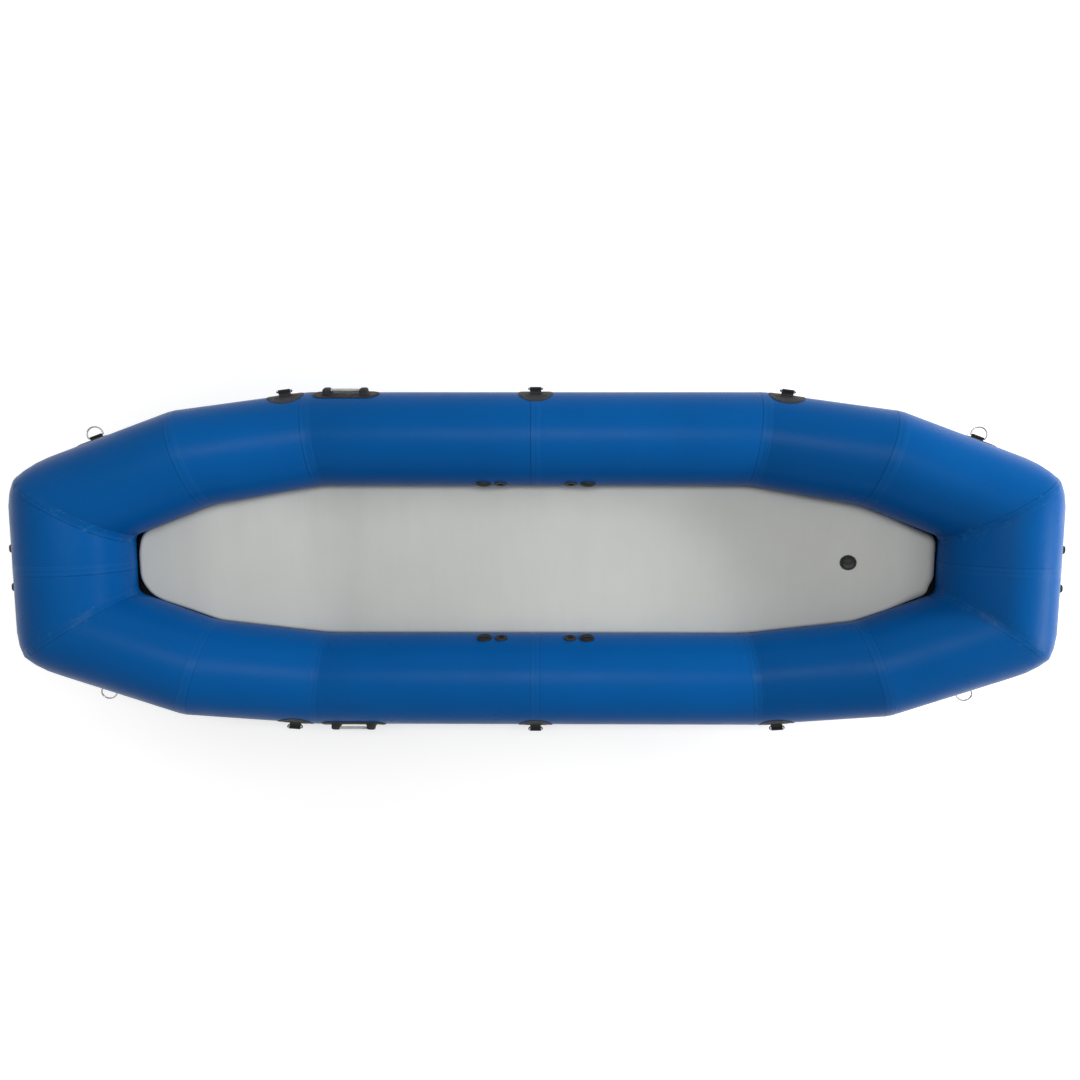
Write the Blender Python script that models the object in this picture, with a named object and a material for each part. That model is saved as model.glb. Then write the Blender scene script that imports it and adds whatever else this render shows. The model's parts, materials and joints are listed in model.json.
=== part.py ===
"""Whitewater raft: a ring of four air chambers with raised ends round a drop-stitch floor.

Metres, +X to the bow, +Y to port, +Z up. The origin is on the ground, under the middle of
the raft. The hull tube is a closed ring of twelve straight panels of coated cloth. Each one
is an open pipe, cut square across the bend it shares with its neighbour, with half of the
seam tape standing proud at each end. The floor and the sheet under it are fitted between
the panels by casting lines to them, so they follow the tube when its sizes change.
"""

import math

import bmesh
import bpy
from mathutils import Matrix, Vector

# Fit between pieces that touch
CLEARANCE = 0.0003

# Hull tube
TUBE_RADIUS = 0.2035
SKIN = 0.0012
TAPE = 0.0006
TAPE_HALF_WIDTH = 0.020
TAPE_BEVEL = 0.0004
FACETS = 24

# Corners of the tube's centre line, from the middle of the raft, and their rise
MIDDLE_HALF_LENGTH = 0.977
MIDDLE_HALF_BEAM = 0.541
SHOULDER_REACH = 1.445
SHOULDER_HALF_BEAM = 0.446
SHOULDER_RISE = 0.148
END_REACH = 1.896
END_HALF_BEAM = 0.253
END_RISE = 0.2245

# Cloth baffle between two chambers
BAFFLE = 0.0012
BAFFLE_BULGE = 0.020

# Floor: two skins held flat by threads, bent with the tube at its corners
FLOOR_DROP = 0.055
FLOOR_THICKNESS = 0.100
FLOOR_SKIN = 0.002
FLOOR_EDGE = 0.018
FLOOR_SIDE_GAP = 0.004
FLOOR_BOW_GAP = 0.008
FLOOR_STERN_GAP = 0.028
FLOOR_CORNER = 0.042
FLOOR_BEND = 0.120
FLOOR_SHOULDER_BEND = 0.050
BEND_STEPS = 4
SHOULDER_BEND_STEPS = 2
CORNER_STEPS = 3

# Largest share of the floor's half width that a corner's radius may take
FLOOR_CORNER_SHARE = 0.6

# Sheet that closes the raft under the floor
SHEET = 0.0015
SHEET_EDGE_GAP = 0.0009
SHEET_END_GAP = 0.006
SHEET_STEP = 0.045

# Inflation valve, used four times in the tube and once in the floor
VALVE_FLANGE_RADIUS = 0.0333
VALVE_FLANGE = 0.0050
VALVE_EDGE = 0.0015
VALVE_BARREL_RADIUS = 0.0225
VALVE_BARREL = 0.034
VALVE_BORE_RADIUS = 0.0180
VALVE_RECESS_RADIUS = 0.0265
VALVE_RECESS = 0.0030
CAP_HEIGHT = 0.0050
CAP_SPIGOT = 0.009
CAP_PLAY = 0.0005
CAP_GRIP_HALF_LENGTH = 0.0200
CAP_GRIP_HALF_WIDTH = 0.0030
CAP_GRIP = 0.0035
VALVE_STEPS = 16

# Relief valve, which lets air out when a chamber is too hard
RELIEF_FLANGE_RADIUS = 0.0280
RELIEF_FLANGE = 0.0045
RELIEF_BARREL_RADIUS = 0.0170
RELIEF_BARREL = 0.026
RELIEF_MOUTH_RADIUS = 0.0125
RELIEF_SEAT_DEPTH = 0.0075
RELIEF_BORE_RADIUS = 0.0090
POPPET_STEM_RADIUS = 0.0040
POPPET_STEM = 0.012
POPPET = 0.0030
POPPET_PLAY = 0.0005
RELIEF_STEPS = 12

# Places of the valves: facets up from the level line, steps along the tube from its
# baffle, and the floor valve's distance from the floor's bow end
VALVE_FACET = 1
INFLATION_VALVE_X = 0.229
RELIEF_VALVE_X = 0.154
FLOOR_VALVE_SETBACK = 0.340

# D-ring and the patch and webbing loop that hold it
WIRE_RADIUS = 0.003
RING_HALF_WIDTH = 0.0300
RING_LEG = 0.010
RING_REACH = 0.041
RING_CORNER = 0.005
RING_ARC_STEPS = 8
WIRE_STEPS = 6
PATCH_RADIUS = 0.076
PATCH = 0.0020
PATCH_STEPS = 24
WEBBING = 0.0022
WEBBING_HALF_WIDTH = 0.024
LOOP_HEIGHT = 0.019
LOOP_FOOT = 0.009
LOOP_FOOT_RISE = 0.007
LOOP_PLAY = 0.0005
LOOP_ARC_STEPS = 6
BORE_STEPS = 10

# Places of the D-rings
SIDE_RING_ELEVATION = math.radians(24)
END_RING_ELEVATION = 0.0
SHOULDER_RING_SETBACK = 0.080
END_RING_SHARE = 0.62

# Carry handle: base patch with two lugs and a grip between them
HANDLE_HALF_LENGTH = 0.143
HANDLE_HALF_WIDTH = 0.045
HANDLE_BASE = 0.003
HANDLE_END_STEPS = 8
LUG_HEIGHT = 0.028
LUG_HALF_LENGTH = 0.019
LUG_HALF_WIDTH = 0.022
LUG_TAPER = 0.005
LUG_SPREAD = 0.078
GRIP_RADIUS = 0.006
GRIP_HEIGHT = 0.020
GRIP_STEPS = 8

# Places of the handles, the side ones from the stern corner of their panel
SIDE_HANDLE_SETBACK = 0.167
SIDE_HANDLE_ELEVATION = math.radians(26)
END_HANDLE_ELEVATION = math.radians(15)

# Overrun of every cutter past the faces it opens
OVERRUN = 0.005

# Share of a patch's thickness that lies below what is moulded onto it
FOOT_SHARE = 0.4

# Halvings of the range in which the floor meets the end tube
HALVINGS = 40

UP = Vector((0, 0, 1))
TUBE_CENTRE = TUBE_RADIUS + TAPE
FACET_ANGLE = math.tau / FACETS
COLOURS = {
    "tube_blue": ((0.012, 0.102, 0.352), 0.34, 0.0),
    "floor_grey": ((0.42, 0.43, 0.42), 0.60, 0.0),
    "black_rubber": ((0.012, 0.012, 0.014), 0.55, 0.0),
    "black_cloth": ((0.010, 0.010, 0.012), 0.70, 0.0),
    "valve_black": ((0.010, 0.010, 0.013), 0.38, 0.0),
    "steel": ((0.62, 0.63, 0.65), 0.25, 1.0),
}


class Panel:
    """A straight run of the hull tube between two corners of its centre line."""

    def __init__(self, name, before, start, end, after):
        self.name = name
        self.start = start
        self.end = end
        self.length = (end - start).length
        self.direction = (end - start).normalized()
        self.side = UP.cross(self.direction).normalized()
        self.up = self.direction.cross(self.side)
        self.start_cut = ((start - before).normalized() + self.direction).normalized()
        self.end_cut = ((after - end).normalized() + self.direction).normalized()

    def outward(self, angle):
        """Direction square to the tube, at an angle above its outer side."""
        return self.side * math.cos(angle) + self.up * math.sin(angle)

    def ring(self, inner_radius, at_end, inset, proud=0.0):
        """Corners of the faceted tube on a plane beside one of its cuts, or straight out of it."""
        point = self.end if at_end else self.start
        normal = self.end_cut if at_end else self.start_cut
        widening = 1 / math.cos(FACET_ANGLE / 2)
        corners = []
        for facet in range(FACETS):
            outward = self.outward(corner_angle(facet)) * widening
            spoke = outward * inner_radius
            to_cut = (point - self.start - spoke).dot(normal) / self.direction.dot(normal)
            step = to_cut - inset if at_end else to_cut + inset
            corners.append(self.start + spoke + outward * proud + self.direction * step)
        return corners

    def middle_ring(self, inner_radius, offset):
        """Corners of the faceted tube on a square plane near the panel's middle."""
        centre = self.start + self.direction * (self.length / 2 + offset)
        corner_radius = inner_radius / math.cos(FACET_ANGLE / 2)
        return [centre + self.outward(corner_angle(facet)) * corner_radius
                for facet in range(FACETS)]

    def planes(self):
        """Outward planes of the panel's outside, each a normal and a distance."""
        faces = []
        for facet in range(FACETS):
            normal = self.outward(facet * FACET_ANGLE)
            faces.append((normal, normal.dot(self.start) + TUBE_RADIUS + TAPE))
        faces.append((-self.start_cut, -self.start_cut.dot(self.start)))
        faces.append((self.end_cut, self.end_cut.dot(self.end)))
        return faces

    def frame(self, along, elevation, height):
        """Frame on the panel: X along the tube and Z square out of it."""
        normal = self.outward(elevation)
        origin = self.start + self.direction * along + normal * height
        across = normal.cross(self.direction)
        return matrix_of(self.direction, across, normal, origin)


def corner_angle(facet):
    """Angle of the corner between a facet of the tube and the next one."""
    return facet * FACET_ANGLE + FACET_ANGLE / 2


def matrix_of(x_axis, y_axis, z_axis, origin):
    """Matrix whose columns are three axes and an origin."""
    columns = (x_axis, y_axis, z_axis, origin)
    rows = [[column[row] for column in columns] for row in range(3)]
    return Matrix(rows + [[0, 0, 0, 1]])


def hull_panels():
    """The twelve panels, clockwise from above, starting along the port side."""
    middle = (MIDDLE_HALF_LENGTH, MIDDLE_HALF_BEAM, 0)
    shoulder = (SHOULDER_REACH, SHOULDER_HALF_BEAM, SHOULDER_RISE)
    end = (END_REACH, END_HALF_BEAM, END_RISE)
    corners = []
    for bow, port, turn in ((1, 1, 1), (1, -1, -1), (-1, -1, 1), (-1, 1, -1)):
        for reach, half_beam, rise in (middle, shoulder, end)[::turn]:
            corners.append(Vector((bow * reach, port * half_beam, TUBE_CENTRE + rise)))
    names = []
    for end_name, sides in (("bow", ("port", "starboard")), ("stern", ("starboard", "port"))):
        names.append(f"{end_name}_shoulder_panel_{sides[0]}")
        names.append(f"{end_name}_quarter_panel_{sides[0]}")
        names.append(f"{end_name}_end_panel")
        names.append(f"{end_name}_quarter_panel_{sides[1]}")
        names.append(f"{end_name}_shoulder_panel_{sides[1]}")
        names.append(f"side_panel_{sides[1]}")
    panels = {}
    count = len(corners)
    for index, name in enumerate(names):
        around = [corners[(index + shift) % count] for shift in (-1, 0, 1, 2)]
        panels[name] = Panel(name, *around)
    return panels


PANELS = hull_panels()


def distance_to_hull(origin, direction):
    """How far a line runs from a point inside the ring before it meets a panel."""
    nearest = math.inf
    for panel in PANELS.values():
        enter = 0.0
        leave = math.inf
        for normal, distance in panel.planes():
            speed = normal.dot(direction)
            room = distance - normal.dot(origin)
            if speed > 0:
                leave = min(leave, room / speed)
            elif speed < 0:
                enter = max(enter, room / speed)
            elif room < 0:
                leave = -math.inf
        if enter < leave:
            nearest = min(nearest, enter)
    return nearest


def finished_mesh(name, build):
    """Turn a bmesh into mesh data with its faces pointing out."""
    bmesh.ops.recalc_face_normals(build, faces=build.faces)
    mesh = bpy.data.meshes.new(name)
    build.to_mesh(mesh)
    build.free()
    return mesh


def loft(name, rings, closed=False):
    """Skin over rings of points, capped at the ends or joined back to the first."""
    build = bmesh.new()
    loops = [[build.verts.new(point) for point in ring] for ring in rings]
    pairs = list(zip(loops, loops[1:]))
    if closed:
        pairs.append((loops[-1], loops[0]))
    else:
        build.faces.new(loops[0])
        build.faces.new(loops[-1])
    for first, second in pairs:
        for index in range(len(first)):
            following = (index + 1) % len(first)
            build.faces.new((first[index], first[following], second[following], second[index]))
    return finished_mesh(name, build)


def turned(name, profile, steps, closed=False):
    """Solid of revolution about Z from (radius, height) points."""
    build = bmesh.new()
    loops = []
    for radius, height in profile:
        if radius == 0:
            loops.append([build.verts.new((0, 0, height))])
            continue
        corner_radius = radius / math.cos(math.pi / steps)
        loops.append([build.verts.new((corner_radius * math.cos((step + 0.5) * math.tau / steps),
                                       corner_radius * math.sin((step + 0.5) * math.tau / steps),
                                       height)) for step in range(steps)])
    pairs = list(zip(loops, loops[1:]))
    if closed:
        pairs.append((loops[-1], loops[0]))
    for first, second in pairs:
        for step in range(steps):
            following = (step + 1) % steps
            corners = [first[step % len(first)], first[following % len(first)],
                       second[following % len(second)], second[step % len(second)]]
            build.faces.new(list(dict.fromkeys(corners)))
    return finished_mesh(name, build)


def column(name, outline, low, high):
    """Upright solid over an outline of (x, y) points."""
    return loft(name, [[(x, y, height) for x, y in outline] for height in (low, high)])


def bar(name, outline, half_length):
    """Solid along X over an outline of (y, z) points."""
    return loft(name, [[(end, y, z) for y, z in outline] for end in (-half_length, half_length)])


def combined(base, tool, operation):
    """Mesh that a Boolean makes of two meshes in the same frame."""
    base_object = bpy.data.objects.new("base", base)
    tool_object = bpy.data.objects.new("tool", tool)
    for scratch in (base_object, tool_object):
        bpy.context.scene.collection.objects.link(scratch)
    cut = base_object.modifiers.new(operation.lower(), "BOOLEAN")
    cut.operation = operation
    cut.solver = "EXACT"
    cut.object = tool_object
    evaluated = base_object.evaluated_get(bpy.context.evaluated_depsgraph_get())
    result = bpy.data.meshes.new_from_object(evaluated)
    result.name = base.name
    for scratch in (base_object, tool_object):
        bpy.data.objects.remove(scratch)
    return result


def material_of(finish):
    """Principled material of one finish, made once."""
    if finish in bpy.data.materials:
        return bpy.data.materials[finish]
    colour, roughness, metallic = COLOURS[finish]
    material = bpy.data.materials.new(finish)
    material.use_nodes = True
    shader = material.node_tree.nodes["Principled BSDF"]
    shader.inputs["Base Color"].default_value = (*colour, 1)
    shader.inputs["Roughness"].default_value = roughness
    shader.inputs["Metallic"].default_value = metallic
    material.diffuse_color = (*colour, 1)
    return material


def add(name, mesh, finish, matrix=None):
    """Put one named piece of the raft in the scene."""
    piece = bpy.data.objects.new(name, mesh)
    if not mesh.materials:
        mesh.materials.append(material_of(finish))
    mesh.shade_smooth()
    mesh.set_sharp_from_angle(angle=FACET_ANGLE * 2)
    if matrix is not None:
        piece.matrix_world = matrix
    bpy.context.scene.collection.objects.link(piece)
    return piece


def valve_frame(panel, x_place):
    """Frame of a tube valve, on the flat of a facet on the inner side of a side panel."""
    along = (Vector((x_place, 0, 0)) - panel.start).dot(panel.direction)
    elevation = math.pi - VALVE_FACET * FACET_ANGLE
    return panel.frame(along, elevation, TUBE_RADIUS + CLEARANCE)


def tube_panel_mesh(panel, middle_tape):
    """Open pipe with mitred ends and proud half tapes, and a middle tape if it has one."""
    outside = TUBE_RADIUS
    taped = TUBE_RADIUS + TAPE
    inside = TUBE_RADIUS - SKIN
    gap = CLEARANCE / 2
    foot = TAPE_HALF_WIDTH
    rim = foot - TAPE_BEVEL
    rings = [panel.ring(inside, False, gap), panel.ring(taped, False, gap),
             panel.ring(outside, False, gap + rim, TAPE), panel.ring(outside, False, gap + foot)]
    if middle_tape:
        for radius, offset in ((outside, -foot), (taped, -rim), (taped, rim), (outside, foot)):
            rings.append(panel.middle_ring(radius, offset))
    rings += [panel.ring(outside, True, gap + foot), panel.ring(outside, True, gap + rim, TAPE),
              panel.ring(taped, True, gap), panel.ring(inside, True, gap)]
    return loft(panel.name, rings, closed=True)


def make_tube_panels():
    """All twelve panels, with the valve holes in the two side panels."""
    for name, panel in PANELS.items():
        has_baffle = "end" in name or "side" in name
        mesh = tube_panel_mesh(panel, has_baffle)
        if name.startswith("side"):
            for x_place, barrel, steps in ((INFLATION_VALVE_X, VALVE_BARREL_RADIUS, VALVE_STEPS),
                                           (RELIEF_VALVE_X, RELIEF_BARREL_RADIUS, RELIEF_STEPS)):
                for bow in (1, -1):
                    mesh = with_round_hole(mesh, valve_frame(panel, bow * x_place),
                                           barrel + CLEARANCE, steps, SKIN)
        add(name, mesh, "tube_blue")


def with_round_hole(mesh, frame, radius, steps, depth):
    """Mesh with a round hole drilled in through the skin below a frame."""
    low = -depth - OVERRUN
    drill = turned("drill", [(0, low), (radius, low), (radius, OVERRUN), (0, OVERRUN)], steps)
    drill.transform(frame)
    return combined(mesh, drill, "DIFFERENCE")


def make_baffles():
    """Shallow cones across the tube where one chamber ends and the next begins."""
    radius = (TUBE_RADIUS - SKIN - CLEARANCE) / math.cos(FACET_ANGLE / 2)
    for name, panel_name in (("baffle_port", "side_panel_port"),
                             ("baffle_starboard", "side_panel_starboard"),
                             ("baffle_bow", "bow_end_panel"),
                             ("baffle_stern", "stern_end_panel")):
        panel = PANELS[panel_name]
        middle = (panel.start + panel.end) / 2
        build = bmesh.new()
        faces = []
        for offset in (-BAFFLE / 2, BAFFLE / 2):
            rim = [build.verts.new(middle + panel.direction * offset
                                   + panel.outward(corner_angle(facet)) * radius)
                   for facet in range(FACETS)]
            tip = build.verts.new(middle + panel.direction * (offset + BAFFLE_BULGE))
            faces.append(rim)
            for facet in range(FACETS):
                build.faces.new((rim[facet], rim[(facet + 1) % FACETS], tip))
        for facet in range(FACETS):
            following = (facet + 1) % FACETS
            build.faces.new((faces[0][facet], faces[0][following],
                             faces[1][following], faces[1][facet]))
        add(name, finished_mesh(name, build), "black_cloth")


def floor_folds():
    """Places where the floor's straight lengths meet, each with its change of slope."""
    shoulder_slope = SHOULDER_RISE / (SHOULDER_REACH - MIDDLE_HALF_LENGTH)
    quarter_slope = (END_RISE - SHOULDER_RISE) / (END_REACH - SHOULDER_REACH)
    folds = []
    for middle, half_length, steps, change in (
            (MIDDLE_HALF_LENGTH, FLOOR_BEND, BEND_STEPS, shoulder_slope),
            (SHOULDER_REACH, FLOOR_SHOULDER_BEND, SHOULDER_BEND_STEPS,
             quarter_slope - shoulder_slope)):
        for step in range(steps + 1):
            share = 1 / steps if 0 < step < steps else 1 / (2 * steps)
            folds.append((middle + half_length * (2 * step / steps - 1), change * share))
    return sorted(folds)


def floor_rise(x_place):
    """Rise of the floor above its flat middle, which follows the tube's centre line."""
    return sum(change * max(0.0, abs(x_place) - place) for place, change in floor_folds())


def floor_top(x_place):
    """Height of the floor's upper face."""
    return TUBE_CENTRE - FLOOR_DROP + floor_rise(x_place)


def room_beside(x_place, height):
    """Free half width between the tubes at a place along the raft."""
    return distance_to_hull(Vector((x_place, 0, height)), Vector((0, 1, 0)))


def room_ahead(drop):
    """Where the floor, at a drop below its top, would meet the raised end tube."""
    near = 0.0
    far = END_REACH
    for _ in range(HALVINGS):
        middle = (near + far) / 2
        start = Vector((0, 0, floor_top(middle) - drop))
        if distance_to_hull(start, Vector((1, 0, 0))) > middle:
            near = middle
        else:
            far = middle
    return near


def floor_outline(end_gap):
    """Stations from the flat middle to one end, each an x and a half width."""
    reach = room_ahead(0) - end_gap
    half_end = room_beside(reach, floor_top(reach)) - FLOOR_SIDE_GAP
    corner = min(FLOOR_CORNER, FLOOR_CORNER_SHARE * half_end)
    before = room_beside(reach - corner, floor_top(reach - corner)) - FLOOR_SIDE_GAP
    slant = math.atan2(before - half_end, corner)
    turn = math.pi / 2 - slant
    tangent = corner * math.tan(turn / 2)
    start = reach - corner * (1 - math.sin(slant))
    stations = [(x_place, room_beside(x_place, floor_top(x_place)) - FLOOR_SIDE_GAP)
                for x_place, _ in floor_folds() if x_place < start - corner]
    for step in range(CORNER_STEPS + 1):
        angle = slant + turn * step / CORNER_STEPS
        stations.append((reach - corner + corner * math.sin(angle),
                         half_end - tangent + corner * math.cos(angle)))
    return stations


def floor_section(x_place, half_width, inset):
    """Rounded cross-section of the floor, or of the air inside it."""
    top = floor_top(x_place) - inset
    bottom = top - FLOOR_THICKNESS + 2 * inset
    half = half_width - inset
    edge = FLOOR_EDGE - inset
    upper = [(half, top - edge), (half - edge, top)]
    lower = [(half - edge, bottom), (half, bottom + edge)]
    port = lower + upper
    starboard = [(-y, z) for y, z in reversed(port)]
    return [(x_place, y, z) for y, z in port + starboard]


def floor_solid(name, inset):
    """Floor lofted through its stations, from stern to bow."""
    bow = floor_outline(FLOOR_BOW_GAP)
    stern = [(-x_place, half) for x_place, half in reversed(floor_outline(FLOOR_STERN_GAP))]
    stations = stern + bow
    sections = []
    for index, (x_place, half) in enumerate(stations):
        at_end = index in (0, len(stations) - 1)
        pull = inset * (-1 if x_place > 0 else 1) if at_end else 0
        sections.append(floor_section(x_place + pull, half, inset))
    return loft(name, sections)


def floor_valve_frame():
    """Frame of the floor valve, square to the sloping floor at the bow."""
    x_place = room_ahead(0) - FLOOR_VALVE_SETBACK
    behind = x_place - VALVE_FLANGE_RADIUS
    surface = Vector((x_place, 0, floor_top(x_place)))
    slope = (surface - Vector((behind, 0, floor_top(behind)))).normalized()
    normal = slope.cross(Vector((0, 1, 0)))
    return matrix_of(slope, Vector((0, 1, 0)), normal, surface + normal * CLEARANCE)


def make_floor():
    """Hollow drop-stitch floor, opened by the hole for its valve."""
    mesh = combined(floor_solid("drop_stitch_floor", 0),
                    floor_solid("floor_air", FLOOR_SKIN), "DIFFERENCE")
    mesh = with_round_hole(mesh, floor_valve_frame(), VALVE_BARREL_RADIUS + CLEARANCE,
                           VALVE_STEPS, FLOOR_SKIN)
    add("drop_stitch_floor", mesh, "floor_grey")


def make_bottom_sheet():
    """Sheet under the floor, cut to meet the tubes all round."""
    drop = FLOOR_THICKNESS + CLEARANCE
    last = room_ahead(drop) - SHEET_END_GAP
    knots = [place for place, _ in floor_folds() if place < last] + [last]
    places = knots[:1]
    for start, stop in zip(knots, knots[1:]):
        steps = math.ceil((stop - start) / SHEET_STEP)
        places += [start + (stop - start) * (step + 1) / steps for step in range(steps)]
    half_stations = []
    for x_place in places:
        top = floor_top(x_place) - drop
        half_stations.append((x_place, room_beside(x_place, top) - SHEET_EDGE_GAP, top))
    mirrored = [(-x_place, half, top) for x_place, half, top in reversed(half_stations)]
    rings = []
    for x_place, half, top in mirrored + half_stations:
        rings.append([(x_place, half, top), (x_place, -half, top),
                      (x_place, -half, top - SHEET), (x_place, half, top - SHEET)])
    add("bottom_sheet", loft("bottom_sheet", rings), "black_cloth")


def inflation_valve_mesh():
    """Valve body: flange on the skin, barrel through it, and a recess for the cap."""
    floor = VALVE_FLANGE - VALVE_RECESS
    profile = [(VALVE_BORE_RADIUS, -VALVE_BARREL), (VALVE_BARREL_RADIUS, -VALVE_BARREL),
               (VALVE_BARREL_RADIUS, 0), (VALVE_FLANGE_RADIUS, 0),
               (VALVE_FLANGE_RADIUS, VALVE_FLANGE - VALVE_EDGE),
               (VALVE_FLANGE_RADIUS - VALVE_EDGE, VALVE_FLANGE),
               (VALVE_RECESS_RADIUS, VALVE_FLANGE), (VALVE_RECESS_RADIUS, floor),
               (VALVE_BORE_RADIUS, floor)]
    return turned("inflation_valve_body", profile, VALVE_STEPS, closed=True)


def valve_cap_mesh():
    """Bayonet cap: spigot in the bore, disc in the recess and a bar to turn it by."""
    radius = VALVE_RECESS_RADIUS - CAP_PLAY
    spigot = VALVE_BORE_RADIUS - CAP_PLAY
    profile = [(0, -CAP_SPIGOT), (spigot, -CAP_SPIGOT), (spigot, 0), (radius, 0),
               (radius, CAP_HEIGHT - VALVE_EDGE), (radius - VALVE_EDGE, CAP_HEIGHT),
               (0, CAP_HEIGHT)]
    disc = turned("valve_cap", profile, VALVE_STEPS)
    outline = [(x_side * CAP_GRIP_HALF_LENGTH, y_side * CAP_GRIP_HALF_WIDTH)
               for x_side, y_side in ((1, 1), (-1, 1), (-1, -1), (1, -1))]
    grip = column("grip", outline, CAP_HEIGHT / 2, CAP_HEIGHT + CAP_GRIP)
    return combined(disc, grip, "UNION")


def cap_offset():
    """The cap's disc stands this far above the flange's seat."""
    return VALVE_FLANGE - VALVE_RECESS + CLEARANCE


def relief_valve_mesh():
    """Relief valve body with a stepped bore, whose step is the poppet's seat."""
    seat = RELIEF_FLANGE - RELIEF_SEAT_DEPTH
    profile = [(RELIEF_BORE_RADIUS, -RELIEF_BARREL), (RELIEF_BARREL_RADIUS, -RELIEF_BARREL),
               (RELIEF_BARREL_RADIUS, 0), (RELIEF_FLANGE_RADIUS, 0),
               (RELIEF_FLANGE_RADIUS, RELIEF_FLANGE), (RELIEF_MOUTH_RADIUS, RELIEF_FLANGE),
               (RELIEF_MOUTH_RADIUS, seat), (RELIEF_BORE_RADIUS, seat)]
    return turned("relief_valve_body", profile, RELIEF_STEPS, closed=True)


def poppet_mesh():
    """Poppet: a disc on the seat and a stem down the bore."""
    disc = RELIEF_MOUTH_RADIUS - POPPET_PLAY
    profile = [(0, -POPPET_STEM), (POPPET_STEM_RADIUS, -POPPET_STEM), (POPPET_STEM_RADIUS, 0),
               (disc, 0), (disc, POPPET), (0, POPPET)]
    return turned("relief_valve_poppet", profile, RELIEF_STEPS)


def make_valves():
    """An inflation valve and a relief valve for each chamber, and the floor's valve."""
    body = inflation_valve_mesh()
    cap = valve_cap_mesh()
    relief = relief_valve_mesh()
    poppet = poppet_mesh()
    lift_cap = Matrix.Translation((0, 0, cap_offset()))
    lift_poppet = Matrix.Translation((0, 0, RELIEF_FLANGE - RELIEF_SEAT_DEPTH + CLEARANCE))
    for side in ("port", "starboard"):
        panel = PANELS[f"side_panel_{side}"]
        for end, bow in (("bow", 1), ("stern", -1)):
            place = f"{end}_{side}"
            frame = valve_frame(panel, bow * INFLATION_VALVE_X)
            add(f"inflation_valve_body_{place}", body, "valve_black", frame)
            add(f"inflation_valve_cap_{place}", cap, "valve_black", frame @ lift_cap)
            frame = valve_frame(panel, bow * RELIEF_VALVE_X)
            add(f"relief_valve_body_{place}", relief, "valve_black", frame)
            add(f"relief_valve_poppet_{place}", poppet, "valve_black", frame @ lift_poppet)
    frame = floor_valve_frame()
    add("floor_valve_body", body, "valve_black", frame)
    add("floor_valve_cap", cap, "valve_black", frame @ lift_cap)


def skin_height(radius, elevation):
    """Distance from the axis of a faceted tube to its surface at an elevation."""
    facet_centre = round(elevation / FACET_ANGLE) * FACET_ANGLE
    return radius / math.cos(elevation - facet_centre)


def patch_sleeve(elevation, low, high, spread, half_length):
    """Slice of a pipe that hugs the tube's facets, in the frame of what it carries."""
    outline = []
    origin_height = skin_height(low, elevation)
    for radius, order in ((high, 1), (low, -1)):
        corner_radius = radius / math.cos(FACET_ANGLE / 2)
        arc = []
        for facet in range(-FACETS // 2, FACETS // 2):
            angle = corner_angle(facet) - elevation
            if abs(angle) < spread + FACET_ANGLE:
                arc.append((-corner_radius * math.sin(angle),
                            corner_radius * math.cos(angle) - origin_height))
        outline += arc[::order]
    return bar("sleeve", outline, half_length)


def hugging_patch(name, outline, elevation, thickness, over_tape):
    """Patch of a given outline, bent round the tube; its frame is on its underside."""
    low = TUBE_RADIUS + (TAPE if over_tape else 0) + CLEARANCE
    reach = max(math.hypot(x, y) for x, y in outline)
    half_width = max(abs(y) for x, y in outline)
    spread = math.asin(half_width / low)
    sagitta = low * (1 - math.cos(spread + FACET_ANGLE))
    sleeve = patch_sleeve(elevation, low, low + thickness, spread, reach + OVERRUN)
    blank = column(name, outline, -sagitta - thickness, thickness + OVERRUN)
    return combined(blank, sleeve, "INTERSECT"), skin_height(low, elevation)


def circle(radius, steps):
    """Outline of a round patch."""
    return [(radius * math.cos(math.tau * step / steps), radius * math.sin(math.tau * step / steps))
            for step in range(steps)]


def webbing_loop_mesh():
    """Webbing that stands off the patch, folded round the ring's straight side."""
    knuckle = WIRE_RADIUS + LOOP_PLAY + WEBBING
    centre = PATCH + LOOP_HEIGHT
    foot = PATCH * FOOT_SHARE
    outline = [(-LOOP_FOOT, foot), (LOOP_FOOT, foot), (knuckle, PATCH + LOOP_FOOT_RISE)]
    for step in range(LOOP_ARC_STEPS + 1):
        turn = math.pi * step / LOOP_ARC_STEPS
        outline.append((knuckle * math.cos(turn), centre + knuckle * math.sin(turn)))
    outline.append((-knuckle, PATCH + LOOP_FOOT_RISE))
    solid = bar("webbing", outline, WEBBING_HALF_WIDTH)
    half = WEBBING_HALF_WIDTH + OVERRUN
    bore = turned("bore", [(0, -half), (WIRE_RADIUS + LOOP_PLAY, -half),
                           (WIRE_RADIUS + LOOP_PLAY, half), (0, half)], BORE_STEPS)
    bore.transform(Matrix.Translation((0, 0, centre)) @ Matrix.Rotation(math.pi / 2, 4, "Y"))
    return combined(solid, bore, "DIFFERENCE")


def ring_mount_mesh(elevation):
    """Round patch with its webbing loop, and the height it sits at."""
    patch, height = hugging_patch("ring_mount", circle(PATCH_RADIUS, PATCH_STEPS),
                               elevation, PATCH, True)
    return combined(patch, webbing_loop_mesh(), "UNION"), height


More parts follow.
